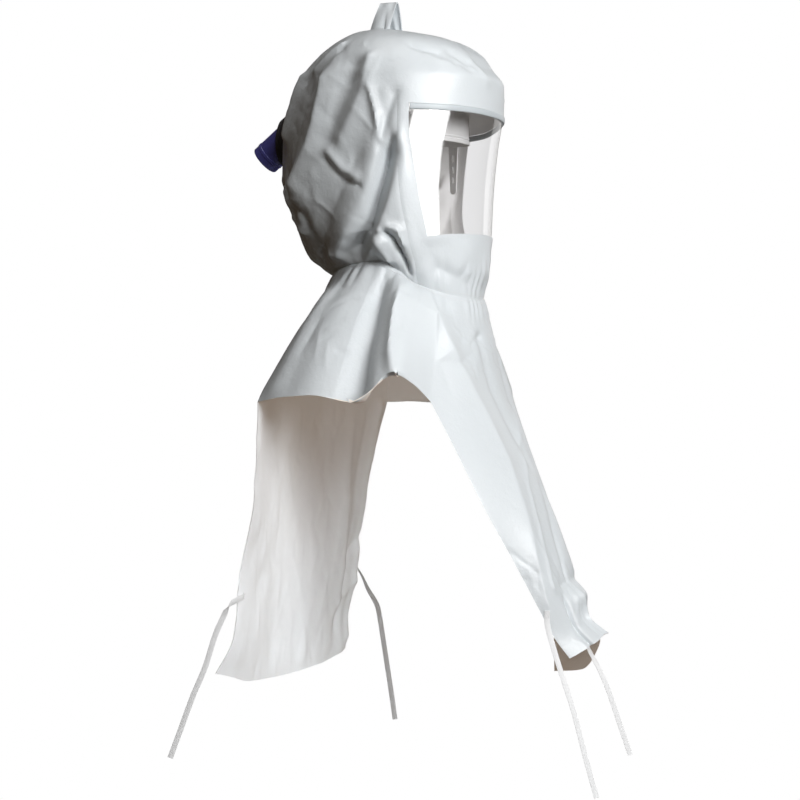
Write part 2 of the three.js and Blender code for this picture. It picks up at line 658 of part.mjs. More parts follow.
function makeLens() {
  const inner = HOOD_SHARES.slice(windowTopRow, windowBottomRow + 1);
  const shares = [WINDOW_TOP - LENS_OVERLAP_SHARE, ...inner, WINDOW_BOTTOM + LENS_OVERLAP_SHARE];
  const strip = windowStrip(shares, LENS_OVERLAP_BEARING);
  return wall(strip, () => true, { thickness: LENS, inset: CLOTH + LENS_CLEARANCE });
}

function makeBrowRim() {
  const shares = [WINDOW_TOP, WINDOW_TOP + BROW_RIM_SHARE];
  const strip = windowStrip(shares, 0, BROW_RIM_REACH);
  const keeps = (r, c) => c > 0 && c < 2 * WINDOW_COLUMNS + 1;
  return wall(strip, keeps, { thickness: BROW_RIM_WALL, inset: -BROW_RIM_PROUD });
}

function makeNeckBand() {
  const pointAt = (r, c) => {
    const point = hoodPoint(hoodBearing(c - HALF_HOOD, 1), 1);
    point.z += NECK_BAND_HALF * (1 - r);
    return point;
  };
  const ring = makeGrid(3, 2 * HALF_HOOD, pointAt, { ring: true });
  return wall(ring, () => true, { thickness: ELASTIC, inset: CLOTH + GAP });
}

// Two sewn feet on the crown, two legs and the fold on top, as rows of three points across the strap.
function makeHangLoop() {
  const footRow = (side) => LOOP_FOOT.map(({ bearing, share }) => {
    const foot = hoodPoint(side * bearing, share);
    foot.z += LOOP_FOOT_RISE;
    return foot;
  });
  const topRow = (side, rise) => [-0.5, 0, 0.5].map((across) => {
    return at(side * LOOP_CROWN_HALF, LOOP_AHEAD + across * LOOP_WIDTH, LOOP_TOP + rise);
  });
  const right = footRow(-1);
  const left = footRow(1);
  const halfway = (foot, top) => foot.map((point, i) => point.clone().lerp(top[i], 0.5));
  const rows = [
    right, halfway(right, topRow(-1, -3)), topRow(-1, -3), topRow(0, 0),
    topRow(1, -3), halfway(left, topRow(1, -3)), left,
  ];
  const pointAt = (r, c) => rows[r][c].clone();
  return wall(makeGrid(rows.length, 3, pointAt), () => true, { thickness: WEBBING });
}

add(hood, "hood_bag", "cloth", makeBag());
add(hood, "hood_front", "cloth", wall(hoodGrid, (r, c) => inFrontCloth(r, c) && !inWindow(r, c)));
add(hood, "visor_lens", "lens", makeLens());
add(hood, "brow_rim", "rim", makeBrowRim());
add(hood, "neck_band", "elastic", makeNeckBand());
add(hood, "hang_loop", "cloth", makeHangLoop());

// Columns of the cape: an even step inside each of its four stretches, on both sides.
function capeBearings() {
  const stretches = [
    { from: 0, to: FRONT_BIB_BEARING, count: CAPE_COLUMNS.frontBib },
    { from: FRONT_BIB_BEARING, to: SHOULDER_BEARING, count: CAPE_COLUMNS.frontArm },
    { from: SHOULDER_BEARING, to: BACK_BIB_BEARING, count: CAPE_COLUMNS.backArm },
    { from: BACK_BIB_BEARING, to: 180, count: CAPE_COLUMNS.backBib },
  ];
  const half = stretches.flatMap(({ from, to, count }) => {
    return Array.from({ length: count }, (_, i) => lerp(from, to, i / count));
  });
  const mirrored = half.slice(1).toReversed().map((bearing) => -bearing);
  return [-180, ...mirrored, ...half];
}

function makeCapeGrid(bearings) {
  const shareAt = (r) => (r <= YOKE_ROWS ? r / YOKE_ROWS : 1 + (r - YOKE_ROWS) / BIB_ROWS);
  const pointAt = (r, c) => {
    const inBib = inFrontBib(bearings[c]) || inBackBib(bearings[c]);
    return r <= YOKE_ROWS || inBib ? capePoint(bearings[c], shareAt(r)) : null;
  };
  const smooth = makeGrid(YOKE_ROWS + BIB_ROWS + 1, bearings.length, pointAt, { ring: true });
  return raiseGrid(smooth, (r, c) => {
    const share = shareAt(r);
    const folds = foldsOnBothSides(CAPE_FOLDS, bearings[c], share, CAPE_ROUND, CAPE_LENGTH);
    return Math.min(1, share * 4) * folds + gatherHeight(bearings[c], share, CAPE_GATHER_REACH);
  });
}

const bearings = capeBearings();
const capeGrid = makeCapeGrid(bearings);
const cellBearing = (c) => (bearings[c] + (bearings[c + 1] ?? 180)) / 2;

function capeKeeps(inPiece, inBib) {
  return (r, c) => inPiece(Math.abs(cellBearing(c))) && (r < YOKE_ROWS || inBib(cellBearing(c)));
}

const frontKeeps = capeKeeps((size) => size < SHOULDER_BEARING, inFrontBib);
const backKeeps = capeKeeps((size) => size > SHOULDER_BEARING, inBackBib);
const frontCape = add(cape, "front_cape", "cloth", wall(capeGrid, frontKeeps));
const backCape = add(cape, "back_cape", "cloth", wall(capeGrid, backKeeps));

// The face of the cape's cloth at one place, found from a point well off it.
function clothFace({ bearing, share, inside }) {
  const step = 0.5;
  const sideways = capePoint(bearing + step, share).sub(capePoint(bearing - step, share));
  const upward = capePoint(bearing, share - step / 10).sub(capePoint(bearing, share + step / 10));
  const off = sideways.cross(upward).normalize();
  if (inside) off.negate();
  const eye = capePoint(bearing, share).addScaledVector(off, TIE_WIDTH);
  const piece = inFrontBib(bearing) ? frontCape : backCape;
  const [hit] = new THREE.Raycaster(eye, off.negate()).intersectObject(piece);
  return { point: hit.point, normal: hit.face.normal };
}

// A tie lies on the face of the cape at its root, just clear of the cloth, and turns as it hangs.
function makeTie({ root, across, route }) {
  const { point, normal } = clothFace(root);
  const start = point.clone().addScaledVector(normal, TIE_CLEARANCE + TAPE / 2);
  const points = [start, ...route.map((place) => at(...place))];
  const hanging = at(...across).normalize();
  const flat = points[1].clone().sub(start).cross(normal).normalize();
  if (flat.dot(hanging) < 0) flat.negate();
  const acrossAt = (i) => flat.clone().lerp(hanging, Math.min(1, i / TIE_TURN_STEPS));
  return strap(points, acrossAt, () => TIE_WIDTH, TAPE);
}

for (const tie of TIES) add(cape, tie.name, "tape", makeTie(tie));

// A point of the headband's wall, by bearing, distance outwards and height.
function bandPoint(bearing, out, up) {
  const turn = rad(bearing);
  const ahead = BAND.ahead + (BAND.depth + out) * Math.cos(turn);
  return at((BAND.side + out) * Math.sin(turn), ahead, up);
}

function makeHeadband() {
  const sections = Array.from({ length: BAND.steps }, (_, i) => {
    const bearing = (i / BAND.steps) * 360 - 180;
    const { top, bottom } = sample(BAND_EDGES, "bearing", Math.abs(bearing));
    const beadTop = bottom + BAND_BEAD.height;
    const bead = BAND.wall + BAND_BEAD.proud;
    const outside = [[BAND.wall, top], [BAND.wall, beadTop], [bead, beadTop], [bead, bottom]];
    const profile = [[0, top], ...outside, [0, bottom]];
    return profile.map(([out, up]) => bandPoint(bearing, out, up));
  });
  return loft(sections, { ring: true });
}

function makeCrownStrap() {
  const foot = sample(BAND_EDGES, "bearing", CROWN_STRAP.seatBearing).top + GAP;
  const reach = BAND.side + BAND.wall / 2;
  const route = Array.from({ length: CROWN_STRAP.steps + 1 }, (_, i) => {
    const turn = (i / CROWN_STRAP.steps) * Math.PI;
    const up = foot + (WEBBING / 2 - foot) * Math.sin(turn);
    return at(-reach * Math.cos(turn), BAND.ahead, up);
  });
  return strap(route, () => at(0, -1, 0), () => CROWN_STRAP.width, WEBBING);
}

function makeTempleStrap(side) {
  const bearing = side * TEMPLE.bearing;
  const { bottom } = sample(BAND_EDGES, "bearing", TEMPLE.bearing);
  const out = BAND.wall + BAND_BEAD.proud + GAP + WEBBING / 2;
  const heights = [bottom + TEMPLE.overlap, bottom, bottom - TEMPLE.length / 2, bottom - TEMPLE.length];
  const { topWidth, endWidth } = TEMPLE;
  const widths = [topWidth, topWidth, lerp(topWidth, endWidth, 0.5), endWidth];
  const route = heights.map((up) => bandPoint(bearing, out, up));
  const tangent = bandPoint(bearing + 1, out, 0).sub(bandPoint(bearing - 1, out, 0));
  return strap(route, () => tangent, (i) => widths[i], WEBBING);
}

add(harness, "headband", "harness", makeHeadband());
add(harness, "crown_strap", "harness", makeCrownStrap());
add(harness, "temple_strap_right", "harness", makeTempleStrap(-1));
add(harness, "temple_strap_left", "harness", makeTempleStrap(1));

// The collar is a slice of a tube on the inlet's axis, cut by the plane of the cloth behind the head.
function makeCollar() {
  const tube = inletTube(COLLAR_RADIUS, INLET_RADIUS + GAP, 0, INLET_LENGTH + COLLAR_RADIUS);
  const depth = COLLAR_TO_AHEAD - COLLAR_FROM_AHEAD;
  const slice = new THREE.BoxGeometry(6 * COLLAR_RADIUS, depth, 12 * COLLAR_RADIUS);
  slice.translate(0, -(COLLAR_FROM_AHEAD + COLLAR_TO_AHEAD) / 2, INLET_END.up);
  slice.applyMatrix4(airSupply.matrix.clone().invert());
  slice.deleteAttribute("normal");
  slice.deleteAttribute("uv");
  return geometryOf(solidOf(tube).intersect(solidOf(mergeVertices(slice))));
}

add(airSupply, "air_inlet", "inlet", inletTube(INLET_RADIUS, INLET_BORE, 0, INLET_LENGTH));
add(airSupply, "inlet_collar", "collar", makeCollar());
const ductFrom = INLET_LENGTH + GAP;
add(airSupply, "air_duct", "harness", inletTube(DUCT_RADIUS, DUCT_BORE, ductFrom, ductFrom + DUCT_LENGTH));

const respiratorHood = new THREE.Group();
respiratorHood.add(hood, cape, harness, airSupply);

export default respiratorHood;
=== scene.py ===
# Respirator hood: cloth hood and cape, visor, air inlet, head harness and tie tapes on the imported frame.
# Sizes are in millimetres and are scaled to metres as each mesh is made.
import math

import bpy
import numpy as np
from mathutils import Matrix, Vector


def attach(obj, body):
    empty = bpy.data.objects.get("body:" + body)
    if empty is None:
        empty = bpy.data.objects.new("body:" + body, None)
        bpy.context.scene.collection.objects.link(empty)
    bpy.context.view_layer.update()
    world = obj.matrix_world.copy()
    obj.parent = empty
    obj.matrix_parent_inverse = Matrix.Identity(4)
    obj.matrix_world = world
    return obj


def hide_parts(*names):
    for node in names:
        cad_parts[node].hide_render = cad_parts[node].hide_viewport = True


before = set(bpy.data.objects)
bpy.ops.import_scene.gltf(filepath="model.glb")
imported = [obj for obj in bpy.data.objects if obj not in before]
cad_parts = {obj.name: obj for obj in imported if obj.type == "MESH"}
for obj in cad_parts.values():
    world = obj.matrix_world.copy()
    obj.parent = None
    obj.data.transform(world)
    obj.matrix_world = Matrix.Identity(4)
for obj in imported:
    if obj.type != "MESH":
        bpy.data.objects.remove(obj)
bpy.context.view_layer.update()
mm = 0.001
body = "root"
print("frame loaded:", len(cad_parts), "nodes")

# The photo's view: level, from the wearer's right and a little ahead
photoView = {
    "azimuth": -66,
    "distance": 3.2,
    "lens": 110.8,
    "sensor": 36,
    "aimAcross": -0.013,
    "aimUp": -0.4537,
}


def addObject(name, data):
    made = bpy.data.objects.new(name, data)
    bpy.context.scene.collection.objects.link(made)
    return made


# A level direction, by its bearing from straight ahead towards the wearer's left
def levelVector(bearing):
    turn = math.radians(bearing)
    return Vector((math.sin(turn), -math.cos(turn), 0))


def placeCamera(view):
    back, across = levelVector(view["azimuth"]), levelVector(view["azimuth"] + 90)
    data = bpy.data.cameras.new("photoCamera")
    data.lens = view["lens"]
    data.sensor_width = view["sensor"]
    camera = addObject("photoCamera", data)
    aim = across * view["aimAcross"] + Vector((0, 0, view["aimUp"]))
    camera.location = aim + back * view["distance"]
    camera.rotation_mode = "QUATERNION"
    camera.rotation_quaternion = (-back).to_track_quat("-Z", "Y")
    bpy.context.scene.camera = camera


placeCamera(photoView)
print("camera placed")


# A smooth curve through stops, flat where it turns. The values may be arrays in the shape of place.
def smoothCurve(keys, values, place):
    spans = np.diff(keys)
    steps = [(values[i + 1] - values[i]) / span for i, span in enumerate(spans)]
    slopes = [steps[0]]
    for before, after in zip(steps[:-1], steps[1:]):
        goesOn = before * after > 0
        slopes.append(np.where(goesOn, 2 * before * after / np.where(goesOn, before + after, 1), 0))
    slopes.append(steps[-1])
    total = values[0]
    for i, span in enumerate(spans):
        t = np.clip((place - keys[i]) / span, 0, 1)
        leave, arrive, rise = slopes[i] * span, slopes[i + 1] * span, steps[i] * span
        total = total + t * (leave + t * (3 * rise - 2 * leave - arrive + t * (leave + arrive - 2 * rise)))
    return total


def sampleColumn(rows, column, place):
    return smoothCurve([row[0] for row in rows], [row[column] for row in rows], place)


# Even steps from stop to stop, without the last stop
def stepsBetween(stops, counts):
    spans = zip(stops[:-1], stops[1:], counts)
    return np.concatenate([np.linspace(start, end, count, endpoint=False) for start, end, count in spans])


def blend(start, end, share):
    return start + (end - start) * share


def smoothStep(low, high, value):
    t = np.clip((value - low) / (high - low), 0, 1)
    return t * t * (3 - 2 * t)


def unit(vectors):
    return vectors / np.maximum(np.linalg.norm(vectors, axis=-1, keepdims=True), 1e-9)


def at(side, ahead, up):
    return np.stack(np.broadcast_arrays(side, -np.asarray(ahead), up), axis=-1).astype(float)


# The hood's form, close to the frame's own
hoodForm = {
    "crownTop": 28.6,
    # share of the way from crown to neck, drop, half width; middle, front and back ahead of the axis
    "sections": [
        (0.0, 0.0, 0, -30, -30, -30),
        (0.09, 0.01, 35, -25, -13, -57),
        (0.15, 0.022, 60, -22, 13, -72),
        (0.22, 0.058, 88, -16, 65, -97),
        (0.29, 0.113, 108, -12, 96, -123),
        (0.345, 0.167, 120, -10, 109, -142),
        (0.395, 0.222, 127, -10, 122, -154),
        (0.485, 0.33, 133, -10, 121, -169),
        (0.575, 0.446, 135, -10, 114, -176),
        (0.665, 0.561, 134, -10, 109, -177),
        (0.725, 0.637, 132, -10, 107, -174),
        (0.84, 0.78, 125, -6, 105, -154),
        (0.915, 0.89, 111, -2, 103, -140),
        (0.975, 0.967, 100, 0, 96, -113),
        (1.0, 1.0, 95, 0, 95, -96),
    ],
    # bearing from straight ahead; heights of the brow on the right and on the left, the chin, the neck
    "levels": [
        (0, -86, -86, -242, -328),
        (30, -83.5, -88, -244, -324),
        (62, -82.5, -99, -250, -309),
        (75, -82, -100, -249, -292),
        (90, -82, -98, -246, -280),
        (135, -81, -88, -233, -287),
        (180, -80, -80, -225, -298),
    ],
    # share; bearings of the window's side edge and the seam behind it, on the right and on the left
    "edges": [
        (0.0, 52, 80, 62, 88),
        (0.3, 60, 72, 68, 80),
        (0.485, 62.5, 69, 72, 79),
        (0.69, 55, 66, 75, 84),
        (0.84, 49.5, 62, 70, 81),
        (1.0, 46, 60, 62, 76),
    ],
    "browDrop": 0.33,
    "chinDrop": 0.78,
    "windowTop": 0.485,
    "windowBottom": 0.84,
    "seamTop": 0.15,
    "cloth": 1.2,
    "round": 2.3,  # millimetres of cloth to a degree
    "length": 400,
}


def hoodPoint(bearing, share):
    form = hoodForm
    drop, side, middle, front, back = (sampleColumn(form["sections"], i, share) for i in range(1, 6))
    rightBrow, leftBrow, chin, neck = (sampleColumn(form["levels"], i, np.abs(bearing)) for i in range(1, 5))
    brow = np.where(bearing > 0, leftBrow, rightBrow)
    cosine = np.cos(np.radians(bearing))
    reach = np.where(cosine >= 0, front - middle, middle - back)
    drops = [0, form["browDrop"], form["chinDrop"], 1]
    up = smoothCurve(drops, [form["crownTop"], brow, chin, neck], drop)
    return at(side * np.sin(np.radians(bearing)), middle + reach * cosine, up)


# Bearings of the window's edge and of the seam, on the side that a bearing lies
def hoodEdges(bearing, share):
    rows = hoodForm["edges"]
    rightWindow, rightSeam, leftWindow, leftSeam = (sampleColumn(rows, i, share) for i in range(1, 5))
    left = bearing > 0
    return np.where(left, leftWindow, rightWindow), np.where(left, leftSeam, rightSeam)


# The cape's form, close to the frame's own
capeForm = {
    "frontBib": 48,  # bearings where the bibs end
    "backBib": 128,
    "shoulder": 90,  # bearing of the shoulder seam
    "neckRise": 2.5,  # the cape's top edge lies over the hood's lower edge
    "neckOut": 1.6,
    "leftDrop": 12,
    "hem": [  # bearing; side, ahead, up; how soon the cloth goes out and falls
        (48, 140, 89, -455, 0.5, 0.48),
        (55, 166, 76, -433, 0.54, 0.44),
        (62, 185, 61, -421, 0.58, 0.4),
        (80, 205, 14, -459, 0.6, 0.38),
        (100, 210, -42, -448, 0.6, 0.38),
        (115, 206, -82, -450, 0.57, 0.42),
        (128, 195, -122, -456, 0.54, 0.46),
    ],
    "front": [  # share; up, middle, right side, right ahead, left side, left ahead
        (1.0, -455, 121, 140, 89, 140, 89),
        (1.13, -496, 141, 130, 108, 132, 107),
        (1.42, -590, 186, 108, 150, 114, 144),
        (1.62, -652, 212, 86, 178, 100, 160),
        (1.82, -714, 236, 66, 206, 88, 168),
        (1.92, -745, 246, 60, 222, 82, 170),
        (2.0, -770, 270, 54, 240, 78, 172),
    ],
    "back": [  # the same columns
        (1.0, -456, -142, 195, -122, 195, -122),
        (1.33, -566, -154, 195, -127, 195, -150),
        (1.68, -685, -166, 198, -147, 198, -172),
        (1.87, -752, -176, 199, -154, 199, -189),
        (2.0, -797, -184, 201, -178, 200, -191),
    ],
    "flare": [(1.0, 0), (1.33, 4), (1.68, 10), (1.87, 12), (2.0, 22)],
    "flarePower": 10,
    "hemPower": 3,
    "frontHem": [(-1, -4), (-0.5, 13), (0, 24), (0.35, 20), (0.75, -30), (1, -36)],
    "backHem": [(-1, 0), (-0.6, -17), (0, -22), (0.5, -17), (1, 0)],
    "cloth": 1.2,
    "round": 2.8,
    "length": 190,
}


def bibPoint(rows, hem, across, share, flare):
    columns = (sampleColumn(rows, i, share) for i in range(1, 7))
    up, middle, rightSide, rightAhead, leftSide, leftAhead = columns
    side = np.where(across < 0, rightSide, leftSide)
    edge = np.where(across < 0, rightAhead, leftAhead) + flare
    ahead = blend(middle, edge, across**2) - flare * across ** capeForm["flarePower"]
    lift = sampleColumn(hem, 1, across) * (share - 1) ** capeForm["hemPower"]
    return at(side * across, ahead, up + lift)


def frontBibPoint(bearing, share):
    across = np.clip(bearing / capeForm["frontBib"], -1, 1)
    return bibPoint(capeForm["front"], capeForm["frontHem"], across, share, np.zeros_like(across))


def backBibPoint(bearing, share):
    across = np.sign(bearing) * np.clip((180 - np.abs(bearing)) / (180 - capeForm["backBib"]), 0, 1)
    flare = sampleColumn(capeForm["flare"], 1, share)
    return bibPoint(capeForm["back"], capeForm["backHem"], across, share, flare)


# The cape from the neck line (share 0) over the shoulders (1) to the hems of the bibs (2)
def capePoint(bearing, share):
    form = capeForm
    size = np.abs(bearing)
    side, ahead, up, out, fall = (sampleColumn(form["hem"], i, size) for i in range(1, 6))
    between = np.clip((size - form["frontBib"]) / (form["backBib"] - form["frontBib"]), 0, 1)
    drop = np.where(bearing > 0, form["leftDrop"] * np.sin(np.pi * between), 0)
    inFront = (size <= form["frontBib"])[..., None]
    inBack = (size >= form["backBib"])[..., None]
    lower = np.maximum(share, 1)
    bib = np.where(inFront, frontBibPoint(bearing, lower), backBibPoint(bearing, lower))
    hem = at(np.sign(bearing) * side, ahead, up - drop)
    hem = np.where(inFront, frontBibPoint(bearing, np.ones_like(lower)), hem)
    hem = np.where(inBack, backBibPoint(bearing, np.ones_like(lower)), hem)
    neck = hoodPoint(bearing, np.ones_like(lower))
    neck[..., 2] += form["neckRise"]
    neck[..., :2] += unit(neck[..., :2]) * form["neckOut"]
    turn = blend(neck, hem, out[..., None])
    turn[..., 2] = blend(neck[..., 2], hem[..., 2], fall)
    t = np.minimum(share, 1)[..., None]
    yoke = neck * (1 - t) ** 2 + 2 * turn * t * (1 - t) + hem * t**2
    return np.where((share > 1)[..., None], bib, yoke)


# Height of a table of folds at flat places on the cloth. Each fold has its own spread ahead of its path
# and behind it. crisp: 1 for a sharp crease, 2 for a soft roll.
def foldField(folds, bearing, share, form):
    across, along = bearing * form["round"], share * form["length"]
    total = np.zeros_like(across)
    for path, height, ahead, behind, crisp in folds:
        points = np.array(path, float) * (form["round"], form["length"])
        nearest = np.full_like(across, np.inf)
        spread = np.ones_like(across)
        for start, end in zip(points[:-1], points[1:]):
            run = end - start
            dx, dy = across - start[0], along - start[1]
            foot = np.clip((dx * run[0] + dy * run[1]) / (run @ run), 0, 1)
            away = np.hypot(dx - foot * run[0], dy - foot * run[1])
            sideways = (dx * run[1] - dy * run[0]) * np.sign(run[1]) / math.hypot(*run)
            turned = 0.5 + 0.5 * sideways / np.maximum(away, 1e-6)
            closer = away < nearest
            nearest = np.where(closer, away, nearest)
            spread = np.where(closer, blend(ahead, behind, turned), spread)
        total += height * np.exp(-((nearest / spread) ** crisp))
    return total


# Folds lie on the wearer's right, and turned, slid and shallower on the left
farFolds = {"turn": 16, "slide": 0.03, "height": 0.85}


def foldsOnBothSides(folds, bearing, share, form):
    left = foldField(folds, bearing - farFolds["turn"], share - farFolds["slide"], form)
    return foldField(folds, -bearing, share, form) + farFolds["height"] * left


# The bearings over which folds fade out towards the middle of the back, where both sides meet
backCalm = (158, 180)


def meetBehind(height, bearing):
    return height * (1 - smoothStep(*backCalm, np.abs(bearing)))


# Short random creases, as coated cloth keeps from being packed flat
creaseForm = {"bow": 0.5, "crisp": 1.3}


def creaseField(spec, bearing, share, form):
    across, along = bearing * form["round"], share * form["length"]
    random = np.random.default_rng(spec["seed"])
    total = np.zeros_like(across)
    for _ in range(spec["count"]):
        middleX = random.uniform(*spec["bearings"]) * form["round"]
        middleY = random.uniform(*spec["shares"]) * form["length"]
        turn = random.uniform(0, math.pi)
        half = random.uniform(*spec["half"])
        width = random.uniform(*spec["width"])
        height = random.uniform(*spec["height"]) * random.choice([-1, 1])
        bow = random.uniform(-creaseForm["bow"], creaseForm["bow"]) / (4 * half)
        dx, dy = across - middleX, along - middleY
        forward = dx * math.cos(turn) + dy * math.sin(turn)
        sideways = dy * math.cos(turn) - dx * math.sin(turn) + bow * forward**2
        fade = np.clip(1 - (forward / half) ** 2, 0, 1)
        total += height * fade * np.exp(-((np.abs(sideways) / width) ** creaseForm["crisp"]))
    return total


# Slow waves over a cloth, from a few random directions
def waveField(spec, bearing, share, form):
    across, along = bearing * form["round"], share * form["length"]
    random = np.random.default_rng(spec["seed"])
    total = np.zeros_like(across)
    for _ in range(spec["count"]):
        turn = random.uniform(0, 2 * math.pi)
        length = random.uniform(*spec["length"])
        phase = random.uniform(0, 2 * math.pi)
        total += np.sin(2 * math.pi * (across * math.cos(turn) + along * math.sin(turn)) / length + phase)
    return total * spec["height"] / math.sqrt(spec["count"])


# Uneven gathers, highest a little way from the neck line
gathers = {
    "count": 38,
    "height": 1.7,
    "crisp": 0.8,
    "sway": [(5, 0.7, 2.4), (11, 2.1, 1.68)],  # waves round the neck: how many, phase, size
    "uneven": (7, 1.3, 0.25),
    "hoodReach": 0.06,
    "capeReach": 0.13,
}


def gatherField(bearing, distance, reach):
    turn = np.radians(bearing)
    sway = sum(size * np.sin(count * turn + phase) for count, phase, size in gathers["sway"])
    wave = (0.5 - 0.5 * np.cos(turn * gathers["count"] + sway)) ** gathers["crisp"]
    count, phase, size = gathers["uneven"]
    share = 1 - size + size * np.sin(count * turn + phase)
    near = distance / reach
    return gathers["height"] * share * wave * near * np.exp(1 - near**2)


# Outward directions of a grid of surface points, by the points round each
def gridNormals(points, ring):
    if ring:
        across = np.roll(points, -1, axis=1) - np.roll(points, 1, axis=1)
    else:
        across = np.gradient(points, axis=1)
    upward = -np.gradient(points, axis=0)
    return unit(np.cross(across, upward))


wallSharp = 50  # degrees


# A closed wall on the kept cells of a grid, or on all. Inside and rim faces take the second material.
def wallMesh(name, points, outward, thickness, keep=None, ring=False):
    rows, columns = points.shape[:2]
    number = np.arange(rows * columns).reshape(rows, columns)
    right = np.roll(number, -1, axis=1) if ring else number[:, 1:]
    left = number if ring else number[:, :-1]
    corners = np.stack([left[:-1], left[1:], right[1:], right[:-1]], axis=-1)
    if keep is None:
        keep = np.ones(corners.shape[:2], bool)
    count = rows * columns
    outer = corners[keep]
    inner = outer[:, ::-1] + count
    padded = np.pad(keep, 1)
    if ring:
        padded[:, 0] = padded[:, -2]
        padded[:, -1] = padded[:, 1]
    beyond = [padded[1:-1, :-2], padded[2:, 1:-1], padded[1:-1, 2:], padded[:-2, 1:-1]]
    rims = []
    for side in range(4):
        edge = corners[keep & ~beyond[side]]
        here, there = edge[:, side], edge[:, (side + 1) % 4]
        rims.append(np.stack([there, here, here + count, there + count], axis=-1))
    faces = np.concatenate([outer, inner, *rims])
    inside = points - outward * thickness
    places = np.concatenate([points.reshape(-1, 3), inside.reshape(-1, 3)])
    slots = np.concatenate([np.zeros(len(outer), int), np.ones(len(faces) - len(outer), int)])
    used, packed = np.unique(faces, return_inverse=True)
    return meshFrom(name, places[used], packed.reshape(faces.shape).tolist(), wallSharp, slots)


# A smooth mesh object from points in millimetres. Edges past the sharp angle stay sharp.
def meshFrom(name, points, faces, sharp, slots=None):
    mesh = bpy.data.meshes.new(name)
    mesh.from_pydata((points * mm).tolist(), [], faces)
    if slots is not None:
        mesh.polygons.foreach_set("material_index", slots.astype(np.int32))
    mesh.validate()
    mesh.polygons.foreach_set("use_smooth", np.ones(len(mesh.polygons), bool))
    mesh.set_sharp_from_angle(angle=math.radians(sharp))
    return addObject(name, mesh)


# A solid through sections with the same number of corners, closed into a ring or capped
def loftMesh(name, sections, sharp, ring=False):
    count, corners = sections.shape[:2]
    here = np.arange(count * corners).reshape(count, corners)
    there = np.roll(here, -1, axis=0)
    faces = np.stack([here, np.roll(here, -1, axis=1), np.roll(there, -1, axis=1), there], axis=-1)
    if ring:
        faces = faces.reshape(-1, 4).tolist()
    else:
        faces = faces[:-1].reshape(-1, 4).tolist() + [here[0, ::-1].tolist(), here[-1].tolist()]
    return meshFrom(name, sections.reshape(-1, 3), faces, sharp)


# A smooth line through points, at even steps
def smoothLine(points, count):
    points = np.asarray(points, float)
    padded = np.concatenate([2 * points[:1] - points[1:2], points, 2 * points[-1:] - points[-2:-1]])
    finePerStop = 16
    place = np.linspace(0, len(points) - 1, finePerStop * len(points))
    i = np.minimum(place.astype(int), len(points) - 2)
    t = (place - i)[:, None]
    before, start, end, after = (padded[i + k] for k in range(4))
    fine = start + 0.5 * t * (end - before + t * (2 * before - 5 * start + 4 * end - after
                              + t * (3 * (start - end) + after - before)))
    run = np.concatenate([[0], np.cumsum(np.linalg.norm(np.diff(fine, axis=0), axis=1))])
    even = np.linspace(0, run[-1], count)
    return np.stack([np.interp(even, run, fine[:, k]) for k in range(3)], axis=-1)


# A socket takes a wire, another socket or a plain value
def joinSocket(tree, value, target):
    if isinstance(value, Wire):
        value = value.socket
    if isinstance(value, bpy.types.NodeSocket):
        tree.links.new(value, target)
    else:
        target.default_value = value


def addNode(tree, kind, settings, sockets):
    made = tree.nodes.new(kind)
    for key, value in settings.items():
        setattr(made, key, value)
    for key, value in sockets.items():
        joinSocket(tree, value, made.inputs[key])
    return made.outputs


# Materials: a socket that takes part in sums, and one method for every node
class Wire:
    def __init__(self, finish, socket):
        self.finish = finish
        self.socket = socket

    def maths(self, operation, first, second):
        return self.finish.node("ShaderNodeMath", {"operation": operation}, {0: first, 1: second})

    def __add__(self, other):
        return self.maths("ADD", self, other)

    __radd__ = __add__

    def __mul__(self, other):
        return self.maths("MULTIPLY", self, other)

    __rmul__ = __mul__

    def __sub__(self, other):
        return self.maths("SUBTRACT", self, other)

    def __rsub__(self, other):
        return self.maths("SUBTRACT", other, self)


class Finish:
    def __init__(self, name, **settings):
        self.material = bpy.data.materials.new(name)
        self.material.use_nodes = True
        self.tree = self.material.node_tree
        self.surface = self.tree.nodes["Principled BSDF"]
        for socket, value in settings.items():
            self.surface.inputs[socket.replace("_", " ")].default_value = value

    def node(self, kind, settings, sockets, output=0):
        return Wire(self, addNode(self.tree, kind, settings, sockets)[output])

    def set(self, socket, value):
        joinSocket(self.tree, value, self.surface.inputs[socket])

    def place(self, kind="Object"):
        return self.node("ShaderNodeTexCoord", {}, {}, kind)

    def noise(self, scale, detail, rough=0.55):
        sockets = {"Vector": self.place(), "Scale": scale, "Detail": detail, "Roughness": rough}
        return self.node("ShaderNodeTexNoise", {}, sockets, "Fac")

    def bands(self, direction, vector, distortion):
        settings = {"wave_type": "BANDS", "bands_direction": direction}
        sockets = {"Vector": vector, "Scale": 1.0, "Distortion": distortion}
        return self.node("ShaderNodeTexWave", settings, sockets, "Fac")

    def mixColour(self, share, first, second):
        sockets = {0: share, 6: first, 7: second}  # the colour sockets of a Mix node
        return self.node("ShaderNodeMix", {"data_type": "RGBA"}, sockets, 2)

    def bump(self, height, distance, strength, under=None):
        sockets = {"Height": height, "Distance": distance, "Strength": strength}
        if under is not None:
            sockets["Normal"] = under
        return self.node("ShaderNodeBump", {}, sockets, "Normal")


def colour(red, green, blue):
    return (red, green, blue, 1)


# Looks: scales of noise are per metre, depths of bumps in metres
coatedLook = {
    "pale": colour(0.695, 0.735, 0.76),
    "deep": colour(0.625, 0.665, 0.69),
    "rough": 0.3,
    "cloud": 9,
    "grain": 1400,
    "grainDepth": 0.00015,
    "wrinkle": 55,
    "wrinkleDepth": 0.0006,
    "wrinkleSlope": 6,
}


